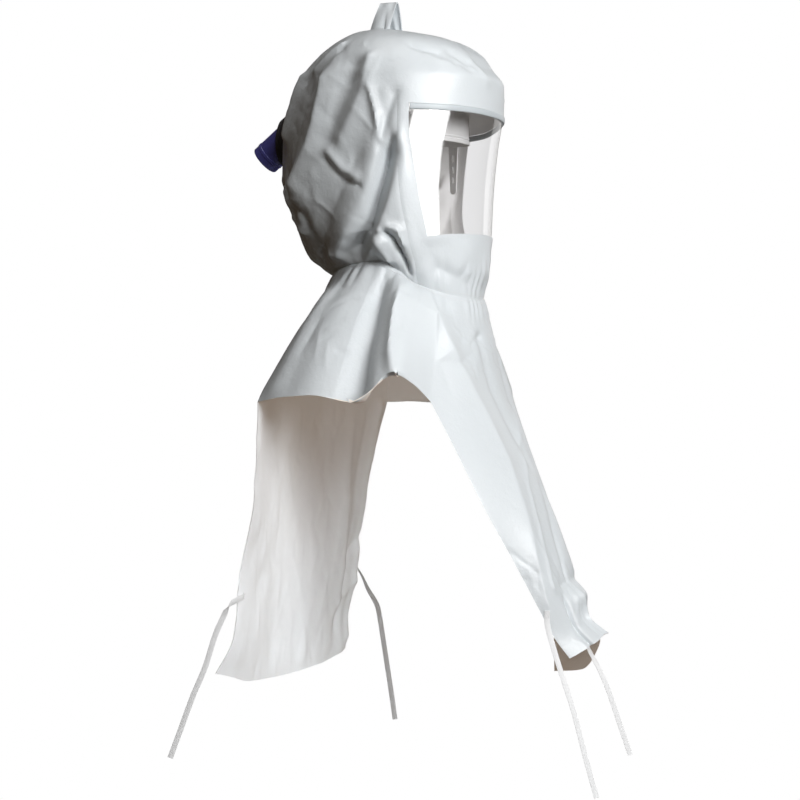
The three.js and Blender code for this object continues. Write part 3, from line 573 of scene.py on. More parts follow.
def makeCoatedCloth(look):
    finish = Finish("coatedCloth", Specular_IOR_Level=0.5, Coat_Weight=0.12, Coat_Roughness=0.22)
    cloud = finish.noise(look["cloud"], 4)
    grain = finish.noise(look["grain"], 2, 0.6)
    wrinkle = finish.noise(look["wrinkle"], 5, 0.62)
    fromMiddle = finish.node("ShaderNodeMath", {"operation": "ABSOLUTE"}, {0: wrinkle - 0.5})
    ridge = 1 - fromMiddle * look["wrinkleSlope"]
    finish.set("Base Color", finish.mixColour(cloud * 0.7 + grain * 0.3, look["deep"], look["pale"]))
    finish.set("Roughness", cloud * 0.1 + grain * 0.1 + look["rough"])
    coarse = finish.bump(ridge, look["wrinkleDepth"], 0.3)
    finish.set("Normal", finish.bump(grain, look["grainDepth"], 0.35, coarse))
    return finish.material


liningLook = {"bond": 420, "fibre": 1700, "fibreDepth": 0.0002, "cloud": 22, "cloudDepth": 0.0015}
liningShades = {  # pale, deep, and a painted glow: a constant warm emission that paints a brown shade tone, which shows most in the lining's shadows; the back lining's bluish pale and deep offset the glow's warmth where it is lit
    # The front lining's warm tan pale and deep are painted shade: the tan stands for warm shade on the white
    # lining
    "frontLining": [colour(0.84, 0.78, 0.72), colour(0.76, 0.70, 0.64), colour(0.08, 0.06, 0.045)],
    "backLining": [colour(0.78, 0.82, 0.86), colour(0.70, 0.74, 0.78), colour(0.12, 0.09, 0.066)],
    "hoodLining": [colour(0.82, 0.82, 0.82), colour(0.76, 0.76, 0.76), colour(0.035, 0.033, 0.031)],
}


# The lining glows with its painted glow colour under any light, a painted warm shade tone
def makeLining(name, look, pale, deep, paintedGlow):
    finish = Finish(name, Roughness=0.82, Specular_IOR_Level=0.25, Sheen_Weight=0.15,
                    Emission_Color=paintedGlow, Emission_Strength=1.0)
    sockets = {"Vector": finish.place(), "Scale": look["bond"]}
    bond = finish.node("ShaderNodeTexVoronoi", {}, sockets, "Distance")
    fibre = finish.noise(look["fibre"], 4, 0.7)
    cloud = finish.noise(look["cloud"], 4)
    finish.set("Base Color", finish.mixColour(cloud * 0.6 + fibre * 0.4, deep, pale))
    soft = finish.bump(cloud, look["cloudDepth"], 0.5)
    finish.set("Normal", finish.bump(bond * 0.5 + fibre, look["fibreDepth"], 0.45, soft))
    return finish.material


visorLook = {"tint": colour(0.985, 0.985, 0.988), "rough": 0.08, "ior": 2.3, "streak": 30}
visorInsideLook = {"tint": colour(0.99, 0.99, 0.992), "rough": 0.08, "ior": 1.2, "streak": 30}


# Clear sheet: straight through, with a mirror gloss that grows at a slant
def makeVisor(name, look):
    finish = Finish(name, Base_Color=colour(1, 1, 1), Metallic=1.0)
    streak = finish.noise(look["streak"], 3, 0.5)
    finish.set("Roughness", streak * 0.03 + look["rough"])
    backFace = finish.node("ShaderNodeNewGeometry", {}, {}, "Backfacing")
    gloss = finish.node("ShaderNodeFresnel", {}, {"IOR": look["ior"]}) * (1 - backFace)
    clear = finish.node("ShaderNodeBsdfTransparent", {}, {"Color": look["tint"]}, "BSDF")
    sheen = Wire(finish, finish.surface.outputs["BSDF"])
    both = finish.node("ShaderNodeMixShader", {}, {0: gloss, 1: clear, 2: sheen}, "Shader")
    joinSocket(finish.tree, both, finish.tree.nodes["Material Output"].inputs["Surface"])
    return finish.material


plasticLook = {"cloud": 40, "cloudRough": 0.12, "grain": 900, "grainDepth": 0.00012}


def makePlastic(name, pale, deep, rough):
    look = plasticLook
    finish = Finish(name, Specular_IOR_Level=0.5)
    cloud = finish.noise(look["cloud"], 3)
    grain = finish.noise(look["grain"], 3, 0.6)
    finish.set("Base Color", finish.mixColour(cloud, deep, pale))
    finish.set("Roughness", cloud * look["cloudRough"] + (rough - look["cloudRough"] / 2))
    finish.set("Normal", finish.bump(grain, look["grainDepth"], 0.2))
    return finish.material


weaveLook = {"fibre": 1500, "depth": 0.0002}


# Woven tape and elastic: ribs across and threads along, on the piece's own flat map, with a painted glow of
# the pale colour that lights the piece where no lamp reaches
def makeWeave(name, pale, deep, ribs, threads, paintedGlow=0.0):
    finish = Finish(name, Roughness=0.75, Specular_IOR_Level=0.3, Sheen_Weight=0.2, Emission_Color=pale,
                    Emission_Strength=paintedGlow)
    flat = finish.node("ShaderNodeMapping", {}, {"Vector": finish.place("UV"), "Scale": (threads, ribs, 1)})
    rib = finish.bands("Y", flat, 0.6)
    thread = finish.bands("X", flat, 0.3)
    fibre = finish.noise(weaveLook["fibre"], 3, 0.6)
    finish.set("Base Color", finish.mixColour(rib * 0.5 + fibre * 0.5, deep, pale))
    finish.set("Normal", finish.bump(rib + thread * 0.6 + fibre * 0.4, weaveLook["depth"], 0.6))
    return finish.material


coatedCloth = makeCoatedCloth(coatedLook)
linings = {name: makeLining(name, liningLook, *shades) for name, shades in liningShades.items()}
clearVisor = makeVisor("clearVisor", visorLook)
clearInside = makeVisor("clearInside", visorInsideLook)
rimPlastic = makePlastic("rimPlastic", colour(0.60, 0.65, 0.68), colour(0.54, 0.59, 0.62), 0.4)
harnessPlastic = makePlastic("harnessPlastic", colour(0.82, 0.82, 0.82), colour(0.76, 0.76, 0.76), 0.45)
inletPlastic = makePlastic("inletPlastic", colour(0.11, 0.11, 0.42), colour(0.085, 0.085, 0.33), 0.35)
# The collar's near black is partly its own dark colour and partly painted shade for the gap where the tube
# enters the cloth
collarBlackAndShade = makePlastic("collarBlackAndShade", colour(0.06, 0.058, 0.064), colour(0.04, 0.04, 0.046), 0.55)
# The tie tape's 0.14 is painted glow: it lightens the ties where they turn away from the lamps
tieTape = makeWeave("tieTape", colour(0.9, 0.91, 0.92), colour(0.78, 0.79, 0.80), 700, 6, 0.14)
elasticWeave = makeWeave("elasticWeave", colour(0.68, 0.69, 0.68), colour(0.5, 0.51, 0.5), 500, 30)
threadWhite = makePlastic("sewingThread", colour(0.75, 0.76, 0.77), colour(0.62, 0.63, 0.64), 0.6)
print("materials made")


def finishPiece(piece, materials, node):
    for material in materials:
        piece.data.materials.append(material)
    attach(piece, body)
    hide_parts(node)


# The cape's cloth. Fold rows: path of (bearing, share), height, spread ahead, spread behind, crispness.
capeCloth = {
    "columns": {"frontBib": 54, "frontArm": 46, "backArm": 46, "backBib": 72},
    "yokeRows": 76,
    "bibRows": 132,
    "folds": [
        ([(71, 0.06), (70, 0.38), (66.5, 0.76), (63, 0.99)], 9, 18, 6, 1.3),
        ([(80, 0.12), (78.5, 0.44), (79, 0.7), (78, 0.95)], -18, 9, 42, 1.4),
        ([(120, 0.25), (122, 0.9)], 5, 16, 20, 2),
        ([(140, 0.1), (146, 1.0)], -6, 18, 18, 2),
        ([(160, 0.15), (158, 1.1)], 4, 18, 22, 2),
    ],
    "frontFolds": [  # on the front bib, as seen from the right
        ([(52, 0.06), (43, 0.4), (28, 0.79), (21, 1.06), (21, 1.23), (27, 1.45), (37, 1.66), (43, 1.8)],
         12, 26, 30, 1.2),
        ([(8, 0.4), (2, 0.9), (-6, 1.2)], -5, 14, 12, 1.8),
        ([(-24, 1.02), (-9, 1.16), (10, 1.33), (19, 1.485), (28, 1.644), (33, 1.75)], 3, 5, 5, 1.2),
        ([(-12, 1.35), (2, 1.55), (10, 1.7)], -4, 9, 8, 1.6),
        ([(-30, 0.3), (-26, 1.1), (-20, 1.6)], -5, 14, 16, 1.8),
        ([(-62, 1.70), (-35, 1.735), (22, 1.75)], -5, 7, 7, 1.4),
        ([(-62, 1.765), (-35, 1.8), (12, 1.815)], 6, 10, 10, 1.6),
        ([(-14, 1.78), (-20, 2.0)], -5, 6, 6, 1.6),
        ([(6, 1.8), (2, 2.0)], 5, 6, 7, 1.5),
        ([(26, 1.82), (28, 2.0)], -5, 6, 6, 1.6),
    ],
    "backFolds": [  # on the far side of the back bib, whose edge is rolled
        ([(132, 1.02), (133, 1.4), (132, 1.95)], -7, 5, 5, 1.5),
        ([(138, 1.05), (139, 1.5), (141, 1.9)], 4, 7, 9, 1.6),
        ([(150, 1.1), (146, 1.5), (143, 1.8)], -4, 9, 12, 1.7),
        ([(131, 1.55), (140, 1.62)], 4, 5, 5, 1.4),
        ([(130, 1.72), (142, 1.8)], -4, 5, 5, 1.4),
    ],
    "seamCalm": {"rounds": 120, "reach": 0.14, "taper": 4},  # eases the turn from shoulder to bib
    "creases": {
        "seed": 5, "count": 150, "bearings": (-180, 180), "shares": (0.0, 0.85),
        "half": (12, 36), "width": (3, 7), "height": (0.4, 1.7),
    },
    "hemCreases": {
        "seed": 8, "count": 60, "bearings": (-50, 50), "shares": (1.62, 2.0),
        "half": (10, 30), "width": (3, 7), "height": (0.3, 1.3),
    },
    "backCreases": {
        "seed": 12, "count": 210, "bearings": (-228, -128), "shares": (1.0, 2.0),
        "half": (9, 26), "width": (5, 11), "height": (0.4, 1.6),
    },
    "neckCalm": 0.25,  # the share over which folds grow from the neck line
    "level": {"by": 0.9, "shares": (0.5, 0.95)},  # how folds turn level towards the hem
    "waves": {"seed": 3, "count": 9, "length": (70, 190), "height": 1.1},
}


def capeBearings(columns):
    stops = [0, capeForm["frontBib"], capeForm["shoulder"], capeForm["backBib"], 180]
    half = stepsBetween(stops, columns.values())
    return np.concatenate([[-180], -half[:0:-1], half])


def easeTurn(points, bearing, share, calm):
    size = np.abs(bearing)
    inFront = smoothStep(0, calm["taper"], capeForm["frontBib"] - size)
    inBack = smoothStep(0, calm["taper"], size - capeForm["backBib"])
    weight = (inFront + inBack) * np.exp(-(((share - 1) / calm["reach"]) ** 2))
    weight = weight[1:-1, :, None]
    for _ in range(calm["rounds"]):
        middle = (points[:-2] + points[2:]) / 2
        points[1:-1] = blend(points[1:-1], middle, 0.5 * weight)
    return points


def makeCapeGrid(cloth):
    shares = np.append(stepsBetween([0, 1, 2], [cloth["yokeRows"], cloth["bibRows"]]), 2)
    bearing, share = np.meshgrid(capeBearings(cloth["columns"]), shares)
    smooth = easeTurn(capePoint(bearing, share), bearing, share, cloth["seamCalm"])
    folds = foldsOnBothSides(cloth["folds"], bearing, share, capeForm)
    folds += foldField(cloth["frontFolds"], -bearing, share, capeForm)
    folds += foldField(cloth["backFolds"], bearing, share, capeForm)
    creases = creaseField(cloth["creases"], bearing, share, capeForm)
    creases += creaseField(cloth["hemCreases"], bearing, share, capeForm)
    waves = waveField(cloth["waves"], bearing, share, capeForm)
    behind = np.where(bearing > 0, bearing - 360, bearing)
    detail = meetBehind(folds + creases + waves, bearing)
    detail += creaseField(cloth["backCreases"], behind, share, capeForm)
    start = np.minimum(1, share / cloth["neckCalm"])
    height = start * detail + gatherField(bearing, share, gathers["capeReach"])
    outward = gridNormals(smooth, ring=True)
    level = cloth["level"]
    outward[..., 2] *= 1 - level["by"] * smoothStep(*level["shares"], share)
    points = smooth + unit(outward) * height[..., None]
    return {"bearing": bearing, "share": share, "points": points, "outward": gridNormals(points, ring=True)}


capeGrid = makeCapeGrid(capeCloth)


# The place on the cape's cloth nearest to a bearing and share, with its outward direction
def clothPlace(grid, bearing, share):
    row = np.abs(grid["share"][:, 0] - share).argmin()
    column = np.abs(grid["bearing"][0] - bearing).argmin()
    return grid["points"][row, column], grid["outward"][row, column]


# Ties: a root on the cape and a route on from it, as side, ahead and up, the same as the frame's
tieForm = {"width": 7, "thick": 0.8, "clear": 0.3, "points": 34, "turnSteps": 3, "sharp": 40}
tieRoutes = {
    "tieBackRight": {
        "node": "tie_back_right",
        "root": (-131, 1.717),
        "inside": True,
        "across": (0.35, 0.8, 0.2),
        "route": [
            (-199, -140, -700), (-208, -150, -706), (-213, -157, -717), (-216, -161, -728),
            (-219, -169, -747), (-223, -181, -787), (-227, -196, -823), (-231, -212, -867),
            (-235, -224, -901),
        ],
    },
    "tieBackLeft": {
        "node": "tie_back_left",
        "root": (128.8, 1.685),
        "inside": True,
        "across": (0.35, 0.8, 0.2),
        "route": [
            (205, -164, -700), (212, -158, -719), (218, -148, -739), (221, -145, -753), (225, -141, -786),
            (228, -136, -824), (231, -131, -862), (234, -126, -903),
        ],
    },
    "tieFrontRight": {
        "node": "tie_front_right",
        "root": (-45, 1.82),
        "inside": False,
        "across": (0.8, 0.6, 0.1),
        "route": [
            (-68, 216, -733), (-68, 224, -761), (-67, 234, -792), (-66, 249, -836), (-64, 264, -893),
            (-61, 278, -944),
        ],
    },
    "tieFrontLeft": {
        "node": "tie_front_left",
        "root": (19, 1.88),
        "inside": True,
        "across": (0.8, 0.6, 0.1),
        "route": [
            (30, 231, -758), (30, 237, -774), (34, 248, -796), (38, 258, -821), (44, 271, -863),
            (50, 284, -905),
        ],
    },
}


def makeTie(name, tie, form):
    place, outward = clothPlace(capeGrid, *tie["root"])
    off = -outward if tie["inside"] else outward
    depth = form["clear"] + form["thick"] / 2 + (capeForm["cloth"] if tie["inside"] else 0)
    start = place + off * depth
    stops = np.concatenate([[start], at(*np.array(tie["route"], float).T)])
    line = smoothLine(stops, form["points"])
    along = unit(np.gradient(line, axis=0))
    hanging = unit(at(*tie["across"]))
    flat = unit(np.cross(stops[1] - start, off))
    flat = flat if flat @ hanging > 0 else -flat
    turned = np.clip(np.linspace(0, len(stops) - 1, len(line)) / form["turnSteps"], 0, 1)[:, None]
    face = unit(np.cross(along, blend(flat, hanging, turned)))
    across = np.cross(face, along)
    wide, deep = form["width"] / 2, form["thick"] / 2
    outline = [(-1, -0.4), (-0.86, -1), (0.86, -1), (1, -0.4), (1, 0.4), (0.86, 1), (-0.86, 1), (-1, 0.4)]
    sections = np.stack([line + across * wide * w + face * deep * d for w, d in outline], axis=1)
    piece = loftMesh(name, sections, form["sharp"])
    run = np.concatenate([[0], np.cumsum(np.linalg.norm(np.diff(line, axis=0), axis=1))])
    mapTape(piece, run * mm, np.array([w for w, _ in outline]) * wide * mm)
    finishPiece(piece, [tieTape], tie["node"])
    return {"start": start, "off": off, "along": along[0], "flat": across[0]}


# A flat map in metres: along the tape by section, across it by corner
def mapTape(piece, along, across):
    layer = piece.data.uv_layers.new(name="flatMap")
    vertex = np.zeros(len(piece.data.loops), np.int32)
    piece.data.loops.foreach_get("vertex_index", vertex)
    flat = np.stack([across[vertex % len(across)], along[vertex // len(across)]], axis=-1)
    layer.data.foreach_set("uv", flat.astype(np.float32).ravel())


tieRoots = {name: makeTie(name, tie, tieForm) for name, tie in tieRoutes.items()}
print("ties made:", len(tieRoots))


# The two halves of the cape: bearings of the yoke and of the bib, and the flat cut in metres
capeHalves = {
    "frontCape": {
        "node": "front_cape",
        "lining": "frontLining",
        "yoke": (0, capeForm["shoulder"]),
        "bib": (0, capeForm["frontBib"]),
        "flat": (0.56, 0.52),
        "area": 0.145,
    },
    "backCape": {
        "node": "back_cape",
        "lining": "backLining",
        "yoke": (capeForm["shoulder"], 180),
        "bib": (capeForm["backBib"], 180),
        "flat": (0.60, 0.54),
        "area": 0.23,
    },
}


def capeCells(half):
    bearing = capeGrid["bearing"][0]
    middle = np.abs((bearing + np.append(bearing[1:], 180)) / 2)
    inYoke, inBib = ((middle > half[key][0]) & (middle < half[key][1]) for key in ("yoke", "bib"))
    yokeRow = np.arange(len(capeGrid["share"]) - 1)[:, None] < capeCloth["yokeRows"]
    return np.where(yokeRow, inYoke, inBib)


def makeCapeHalf(name, half):
    cells = capeCells(half)
    piece = wallMesh(name, capeGrid["points"], capeGrid["outward"], capeForm["cloth"], cells, ring=True)
    finishPiece(piece, [coatedCloth, linings[half["lining"]]], half["node"])


for name, half in capeHalves.items():
    makeCapeHalf(name, half)
print("cape made")


# The hood's cloth. Fold rows as on the cape.
hoodCloth = {
    "columns": {"window": 48, "strip": 8, "bag": 100},
    "rows": {"crown": 24, "brow": 56, "window": 62, "chin": 36},
    "folds": [
        ([(115, 0.4), (114, 0.445), (115.5, 0.53), (119.5, 0.59), (130, 0.69)], 9, 18, 8, 1.3),
        ([(129, 0.43), (132, 0.49), (133, 0.55), (141, 0.64)], -11, 22, 56, 1.6),
        ([(146, 0.37), (148, 0.47), (152, 0.55)], 7, 10, 9, 1.5),
        ([(114, 0.262), (122, 0.3), (130, 0.35)], 4, 5, 7, 1.3),
        ([(110, 0.285), (118, 0.325), (125, 0.37)], -3, 4, 6, 1.3),
        ([(136, 0.33), (139, 0.38)], -4, 4, 6, 1.3),
        ([(96, 0.36), (98, 0.44), (104, 0.52), (107, 0.57)], -5.5, 12, 17, 1.8),
        ([(87, 0.34), (89, 0.44), (95, 0.52), (100, 0.57)], 5, 13, 10, 1.6),
        ([(85, 0.44), (81, 0.515), (78, 0.58)], 5, 9, 4, 1.2),
        ([(70.5, 0.46), (74, 0.52), (78, 0.585)], -5, 6, 8, 1.5),
        ([(108, 0.627), (104, 0.651), (100, 0.672), (95, 0.683), (91, 0.687)], -4, 4, 4, 1.2),
        ([(106, 0.61), (100, 0.648), (93, 0.665)], 4.5, 6, 8, 1.6),
        ([(79, 0.6), (85, 0.69), (93, 0.766), (102, 0.842), (118, 0.95)], 5, 10, 16, 1.5),
        ([(93, 0.62), (97.5, 0.67), (104.5, 0.745), (115, 0.84), (127, 0.92)], -9, 16, 50, 1.2),
        ([(131, 0.72), (131, 0.76), (132, 0.8)], 9, 42, 14, 1.6),
        ([(72, 0.62), (76, 0.68), (81, 0.735), (87.5, 0.805), (98, 0.9), (105, 0.97)], -21, 10, 15, 1.5),
        ([(71, 0.585), (72.5, 0.64)], -5, 6, 7, 1.7),
        ([(67.5, 0.58), (68.5, 0.66), (73, 0.73), (79, 0.79), (85, 0.85), (92, 0.91)], 5, 14, 4.5, 1.4),
        ([(147, 0.68), (138, 0.735), (128, 0.785), (129, 0.86), (130, 0.93)], -5, 5, 7, 1.3),
        ([(152, 0.72), (142, 0.775), (137, 0.85)], 5, 7, 7, 1.4),
        ([(160, 0.72), (156, 0.8), (160, 0.9)], -6, 9, 9, 1.5),
        ([(134, 0.92), (141, 0.965), (150, 0.985)], -5, 5, 5, 1.3),
        ([(121, 0.93), (129, 0.985)], 5, 6, 6, 1.3),
        ([(76, 0.825), (72, 0.845), (69, 0.905), (66, 0.965)], -11, 5, 6, 1.4),
        ([(80, 0.82), (74.5, 0.808), (69, 0.815), (66, 0.86)], 5, 5, 5, 1.5),
        ([(82, 0.87), (79, 0.94)], 7, 9, 11, 1.7),
        ([(58, 0.283), (50, 0.3), (42, 0.314)], -4, 4, 6, 1.3),
        ([(33, 0.31), (24, 0.35)], -4, 10, 12, 1.7),
        ([(51, 0.325), (44, 0.345), (38, 0.352)], 2.5, 4, 6, 1.4),
        ([(31, 0.337), (21, 0.362)], 2.5, 5, 4, 1.3),
        ([(18, 0.33), (12, 0.4)], 2.5, 6, 6, 1.4),
        ([(44, 0.925), (18, 0.965)], -4, 9, 9, 1.6),
    ],
    "bagCreases": {
        "seed": 21, "count": 170, "bearings": (-292, -68), "shares": (0.25, 1.0),
        "half": (12, 36), "width": (3, 8), "height": (0.3, 1.4),
    },
    "backCreases": {
        "seed": 4, "count": 90, "bearings": (-234, -126), "shares": (0.66, 1.0),
        "half": (10, 30), "width": (2.2, 6), "height": (0.6, 2.2),
    },
    "frontCreases": {
        "seed": 6, "count": 40, "bearings": (-66, 66), "shares": (0.2, 0.42),
        "half": (10, 28), "width": (3, 8), "height": (0.2, 0.9),
    },
    "chinCreases": {
        "seed": 9, "count": 40, "bearings": (-66, 66), "shares": (0.88, 1.0),
        "half": (8, 24), "width": (2.5, 6), "height": (0.3, 1.4),
    },
    "waves": {"seed": 14, "count": 8, "length": (60, 150), "height": 0.8},
    "neckCalm": {"from": 0.01, "over": 0.05},
    "crownCalm": (0.03, 0.12),  # shares over which folds grow from the crown
    "windowCalm": (2, 14),  # millimetres from the window, where the cloth lies flat on the visor
    "seamDepth": 1.0,
    "seamWidth": 3,
    "seamShares": (0.42, 0.5),
}


# How far a place is from the window, in millimetres of cloth
def windowDistance(bearing, share):
    edge, _ = hoodEdges(bearing, share)
    sideways = np.maximum(np.abs(bearing) - edge, 0) * hoodForm["round"]
    above = np.maximum(hoodForm["windowTop"] - share, 0)
    below = np.maximum(share - hoodForm["windowBottom"], 0)
    return np.hypot(sideways, (above + below) * hoodForm["length"])


def hoodColumns(columns, share):
    steps = np.arange(-sum(columns.values()), sum(columns.values()))
    size = np.abs(steps)
    window, seam = hoodEdges(steps[None], share[:, None])
    inWindow = window * size / columns["window"]
    inStrip = blend(window, seam, (size - columns["window"]) / columns["strip"])
    inBag = blend(seam, 180, (size - columns["window"] - columns["strip"]) / columns["bag"])
    beside = np.where(size <= columns["window"] + columns["strip"], inStrip, inBag)
    return np.sign(steps) * np.where(size <= columns["window"], inWindow, beside)


def makeHoodGrid(cloth):
    stops = [0, hoodForm["seamTop"], hoodForm["windowTop"], hoodForm["windowBottom"], 1]
    shares = np.append(stepsBetween(stops, cloth["rows"].values()), 1)
    bearing = hoodColumns(cloth["columns"], shares)
    share = np.broadcast_to(shares[:, None], bearing.shape)
    smooth = hoodPoint(bearing, share)
    outward = gridNormals(smooth, ring=True)
    outward[0] = (0, 0, 1)
    behind = np.where(bearing > 0, bearing - 360, bearing)
    detail = foldsOnBothSides(cloth["folds"], bearing, share, hoodForm)
    detail += waveField(cloth["waves"], bearing, share, hoodForm)
    detail = meetBehind(detail, bearing)
    for key in ("bagCreases", "backCreases"):
        detail += creaseField(cloth[key], behind, share, hoodForm)
    for key in ("frontCreases", "chinCreases"):
        detail += creaseField(cloth[key], bearing, share, hoodForm)
    calm = np.clip((1 - share - cloth["neckCalm"]["from"]) / cloth["neckCalm"]["over"], 0, 1)
    calm = calm * smoothStep(*cloth["windowCalm"], windowDistance(bearing, share))
    calm = calm * smoothStep(*cloth["crownCalm"], share)
    fromSeam = (np.abs(bearing) - hoodEdges(bearing, share)[1]) * hoodForm["round"]
    seam = -cloth["seamDepth"] * np.exp(-np.abs(fromSeam) / cloth["seamWidth"])
    seam = seam * smoothStep(*cloth["seamShares"], share)
    height = calm * detail + seam + gatherField(bearing, 1 - share, gathers["hoodReach"])
    points = smooth + outward * height[..., None]
    raised = gridNormals(points, ring=True)
    raised[0] = (0, 0, 1)
    points[0] = points[0].mean(axis=0)
    return {"bearing": bearing, "share": share, "points": points, "outward": raised}


hoodGrid = makeHoodGrid(hoodCloth)

# The air inlet's axis leaves the back of the hood and slopes down
inletForm = {
    "endAhead": -211.6,
    "endUp": -134.7,
    "slope": 38.4,
    "radius": 20.3,
    "bore": 17,
    "length": 74,
    "mouth": [(0.7, 0.9), (0.6, 0.8)],  # bevels outside and inside: across, along
    "bead": {"high": 0.7, "from": 8.5, "to": 13.5, "slope": 0.9},
    "collarRadius": 24.6,
    "collarClear": 0.3,
    "collarFrom": 184,  # how far back the collar's two faces lie
    "collarTo": 164,
    # in from the collar's radius, and deep from its face
    "collarGroove": [(0, 7), (0.8, 6.2), (0.8, 4.6), (0, 3.8), (0, 1.2), (1.2, 0)],
    "sides": 96,
    "sharp": 35,
    "clothHole": 25,
    "holeBehind": 60,  # the hole is behind this depth
}
inletSlope = math.radians(inletForm["slope"])
inletEnd = at(0, inletForm["endAhead"], inletForm["endUp"])
inletAxis = np.array([0, math.cos(inletSlope), -math.sin(inletSlope)])
inletUp = np.array([0, math.sin(inletSlope), math.cos(inletSlope)])


# Opens the round hole for the inlet: cells inside it go, and the edge is drawn onto the circle
def openInletHole(grid, keep):
    fromEnd = grid["points"] - inletEnd
    along = fromEnd @ inletAxis
    radial = fromEnd - along[..., None] * inletAxis
    isBehind = grid["points"][..., 1] > inletForm["holeBehind"]
    away = np.where(isBehind, np.linalg.norm(radial, axis=-1), np.inf)
    radius = inletForm["clothHole"]
    clear = away > radius
    clear &= np.roll(clear, -1, axis=1)
    kept = keep & clear[:-1] & clear[1:]
    touched = np.zeros(away.shape, bool)
    dropped = keep & ~kept
    for shifted in (dropped, np.roll(dropped, 1, axis=1)):
        touched[:-1] |= shifted
        touched[1:] |= shifted
    rim = touched & (away > radius) & np.isfinite(away)
    points = grid["points"].copy()
    pulled = inletEnd + along[..., None] * inletAxis + unit(radial) * radius
    points[rim] = pulled[rim]
    return points, kept


def hoodCells():
    columns, rows = hoodCloth["columns"], hoodCloth["rows"]
    half = sum(columns.values())
    fromFront = np.abs(np.arange(2 * half) + 0.5 - half)
    row = np.arange(len(hoodGrid["share"]) - 1)[:, None]
    top = rows["crown"] + rows["brow"]
    front = (row >= rows["crown"]) & (fromFront < columns["window"] + columns["strip"])[None]
    window = (row >= top) & (row < top + rows["window"]) & (fromFront < columns["window"])[None]
    return front, window


def makeHood():
    front, window = hoodCells()
    bagPoints, bagCells = openInletHole(hoodGrid, ~front)
    halves = [
        ("hoodBag", "hood_bag", bagPoints, bagCells),
        ("hoodFront", "hood_front", hoodGrid["points"], front & ~window),
    ]
    for name, node, points, cells in halves:
        piece = wallMesh(name, points, hoodGrid["outward"], hoodForm["cloth"], cells, ring=True)
        finishPiece(piece, [coatedCloth, linings["hoodLining"]], node)


makeHood()
print("hood made")

# The visor lies behind the window's edges, and the rim runs along its top
visorForm = {
    "behind": 0.6,  # clear of the cloth
    "thick": 1.5,
    "pastSide": 2.5,
    "pastShare": 0.02,
    "columns": 121,
    "rows": 60,
}


def makeVisorLens(form):
    top = hoodForm["windowTop"] - form["pastShare"]
    bottom = hoodForm["windowBottom"] + form["pastShare"]
    shares = np.linspace(top, bottom, form["rows"])
    across = np.linspace(-1, 1, form["columns"])[None]
    bearing = across * (hoodEdges(across, shares[:, None])[0] + form["pastSide"])
    smooth = hoodPoint(bearing, np.broadcast_to(shares[:, None], bearing.shape))
    outward = gridNormals(smooth, ring=False)
    points = smooth - outward * (hoodForm["cloth"] + form["behind"])
    lens = wallMesh("visorLens", points, outward, form["thick"])
    finishPiece(lens, [clearVisor, clearInside], "visor_lens")


makeVisorLens(visorForm)

rimForm = {
    "share": 0.494,
    "reach": 0.99,
    "tall": 3.7,
    "thick": 1.3,
    "out": 0.1,
    "round": 0.6,
    "steps": 120,
    "corners": 16,
    "sharp": 40,
}


def makeBrowRim(form):
    share = np.full(form["steps"], form["share"])
    across = np.linspace(-1, 1, form["steps"])
    bearing = across * hoodEdges(across, share)[0] * form["reach"]
    step = 0.004
    line = hoodPoint(bearing, share)
    down = unit(hoodPoint(bearing, share + step) - hoodPoint(bearing, share - step))
    outward = unit(np.cross(np.gradient(line, axis=0), -down))
    turns = np.linspace(0, 2 * math.pi, form["corners"], endpoint=False)
    corners = np.stack([np.cos(turns), np.sin(turns)], axis=-1)
    sections = []
    for deep, high in np.sign(corners) * np.abs(corners) ** form["round"]:
        sections.append(line + outward * (form["out"] + form["thick"] * deep) + down * form["tall"] * high)
    rim = loftMesh("browRim", np.stack(sections, axis=1)[::-1], form["sharp"])
    finishPiece(rim, [rimPlastic], "brow_rim")


makeBrowRim(rimForm)
print("visor made")

# Hang loop: a strap of the same cloth folded over on the crown, with two sewn feet
loopForm = {
    "top": 63,
    "ahead": -30,
    "topWidth": 24,
    "topHalf": 4.2,
    "topRound": 4,
    "belly": 1,  # the sides bow out
    "ripple": 0.5,
    "foot": [(148, 0.075), (90, 0.045), (46, 0.07)],  # bearing and share of the foot's edges and middle
    "clear": 0.35,
    "thick": 1.6,
    "rows": 48,
    "columns": 14,
}


def makeHangLoop(form):
    place = np.array(form["foot"], float)
    edges = np.linspace(0, 2, form["columns"])
    bearing = np.interp(edges, [0, 1, 2], place[:, 0])
    share = np.interp(edges, [0, 1, 2], place[:, 1])
    leftFoot = hoodPoint(bearing, share) + (0, 0, form["clear"])
    ahead = form["ahead"] + np.linspace(-0.5, 0.5, form["columns"]) * form["topWidth"]
    leftTop = at(form["topHalf"], ahead, form["top"] - form["topRound"])
    crown = at(0, ahead, form["top"])
    mirror = np.array([-1, 1, 1])
    half = blend(leftFoot, leftTop, 0.5) + (form["belly"], 0, 0)
    stops = np.stack([leftFoot * mirror, half * mirror, leftTop * mirror, crown, leftTop, half, leftFoot])
    lines = np.stack([smoothLine(stops[:, c], form["rows"]) for c in range(form["columns"])], axis=1)
    waves = np.sin(np.linspace(0, 3 * math.pi, form["columns"]))[None]
    fade = np.sin(np.linspace(0, math.pi, form["rows"]))[:, None]
    lines[..., 0] += form["ripple"] * waves * fade
    loop = wallMesh("hangLoop", lines, gridNormals(lines, ring=False), form["thick"])
    finishPiece(loop, [coatedCloth, coatedCloth], "hang_loop")


makeHangLoop(loopForm)


# Directions out from the inlet's axis, all round
def inletSpokes():
    turns = np.linspace(0, 2 * math.pi, inletForm["sides"], endpoint=False)
    return np.cos(turns)[:, None] * (1, 0, 0) + np.sin(turns)[:, None] * inletUp


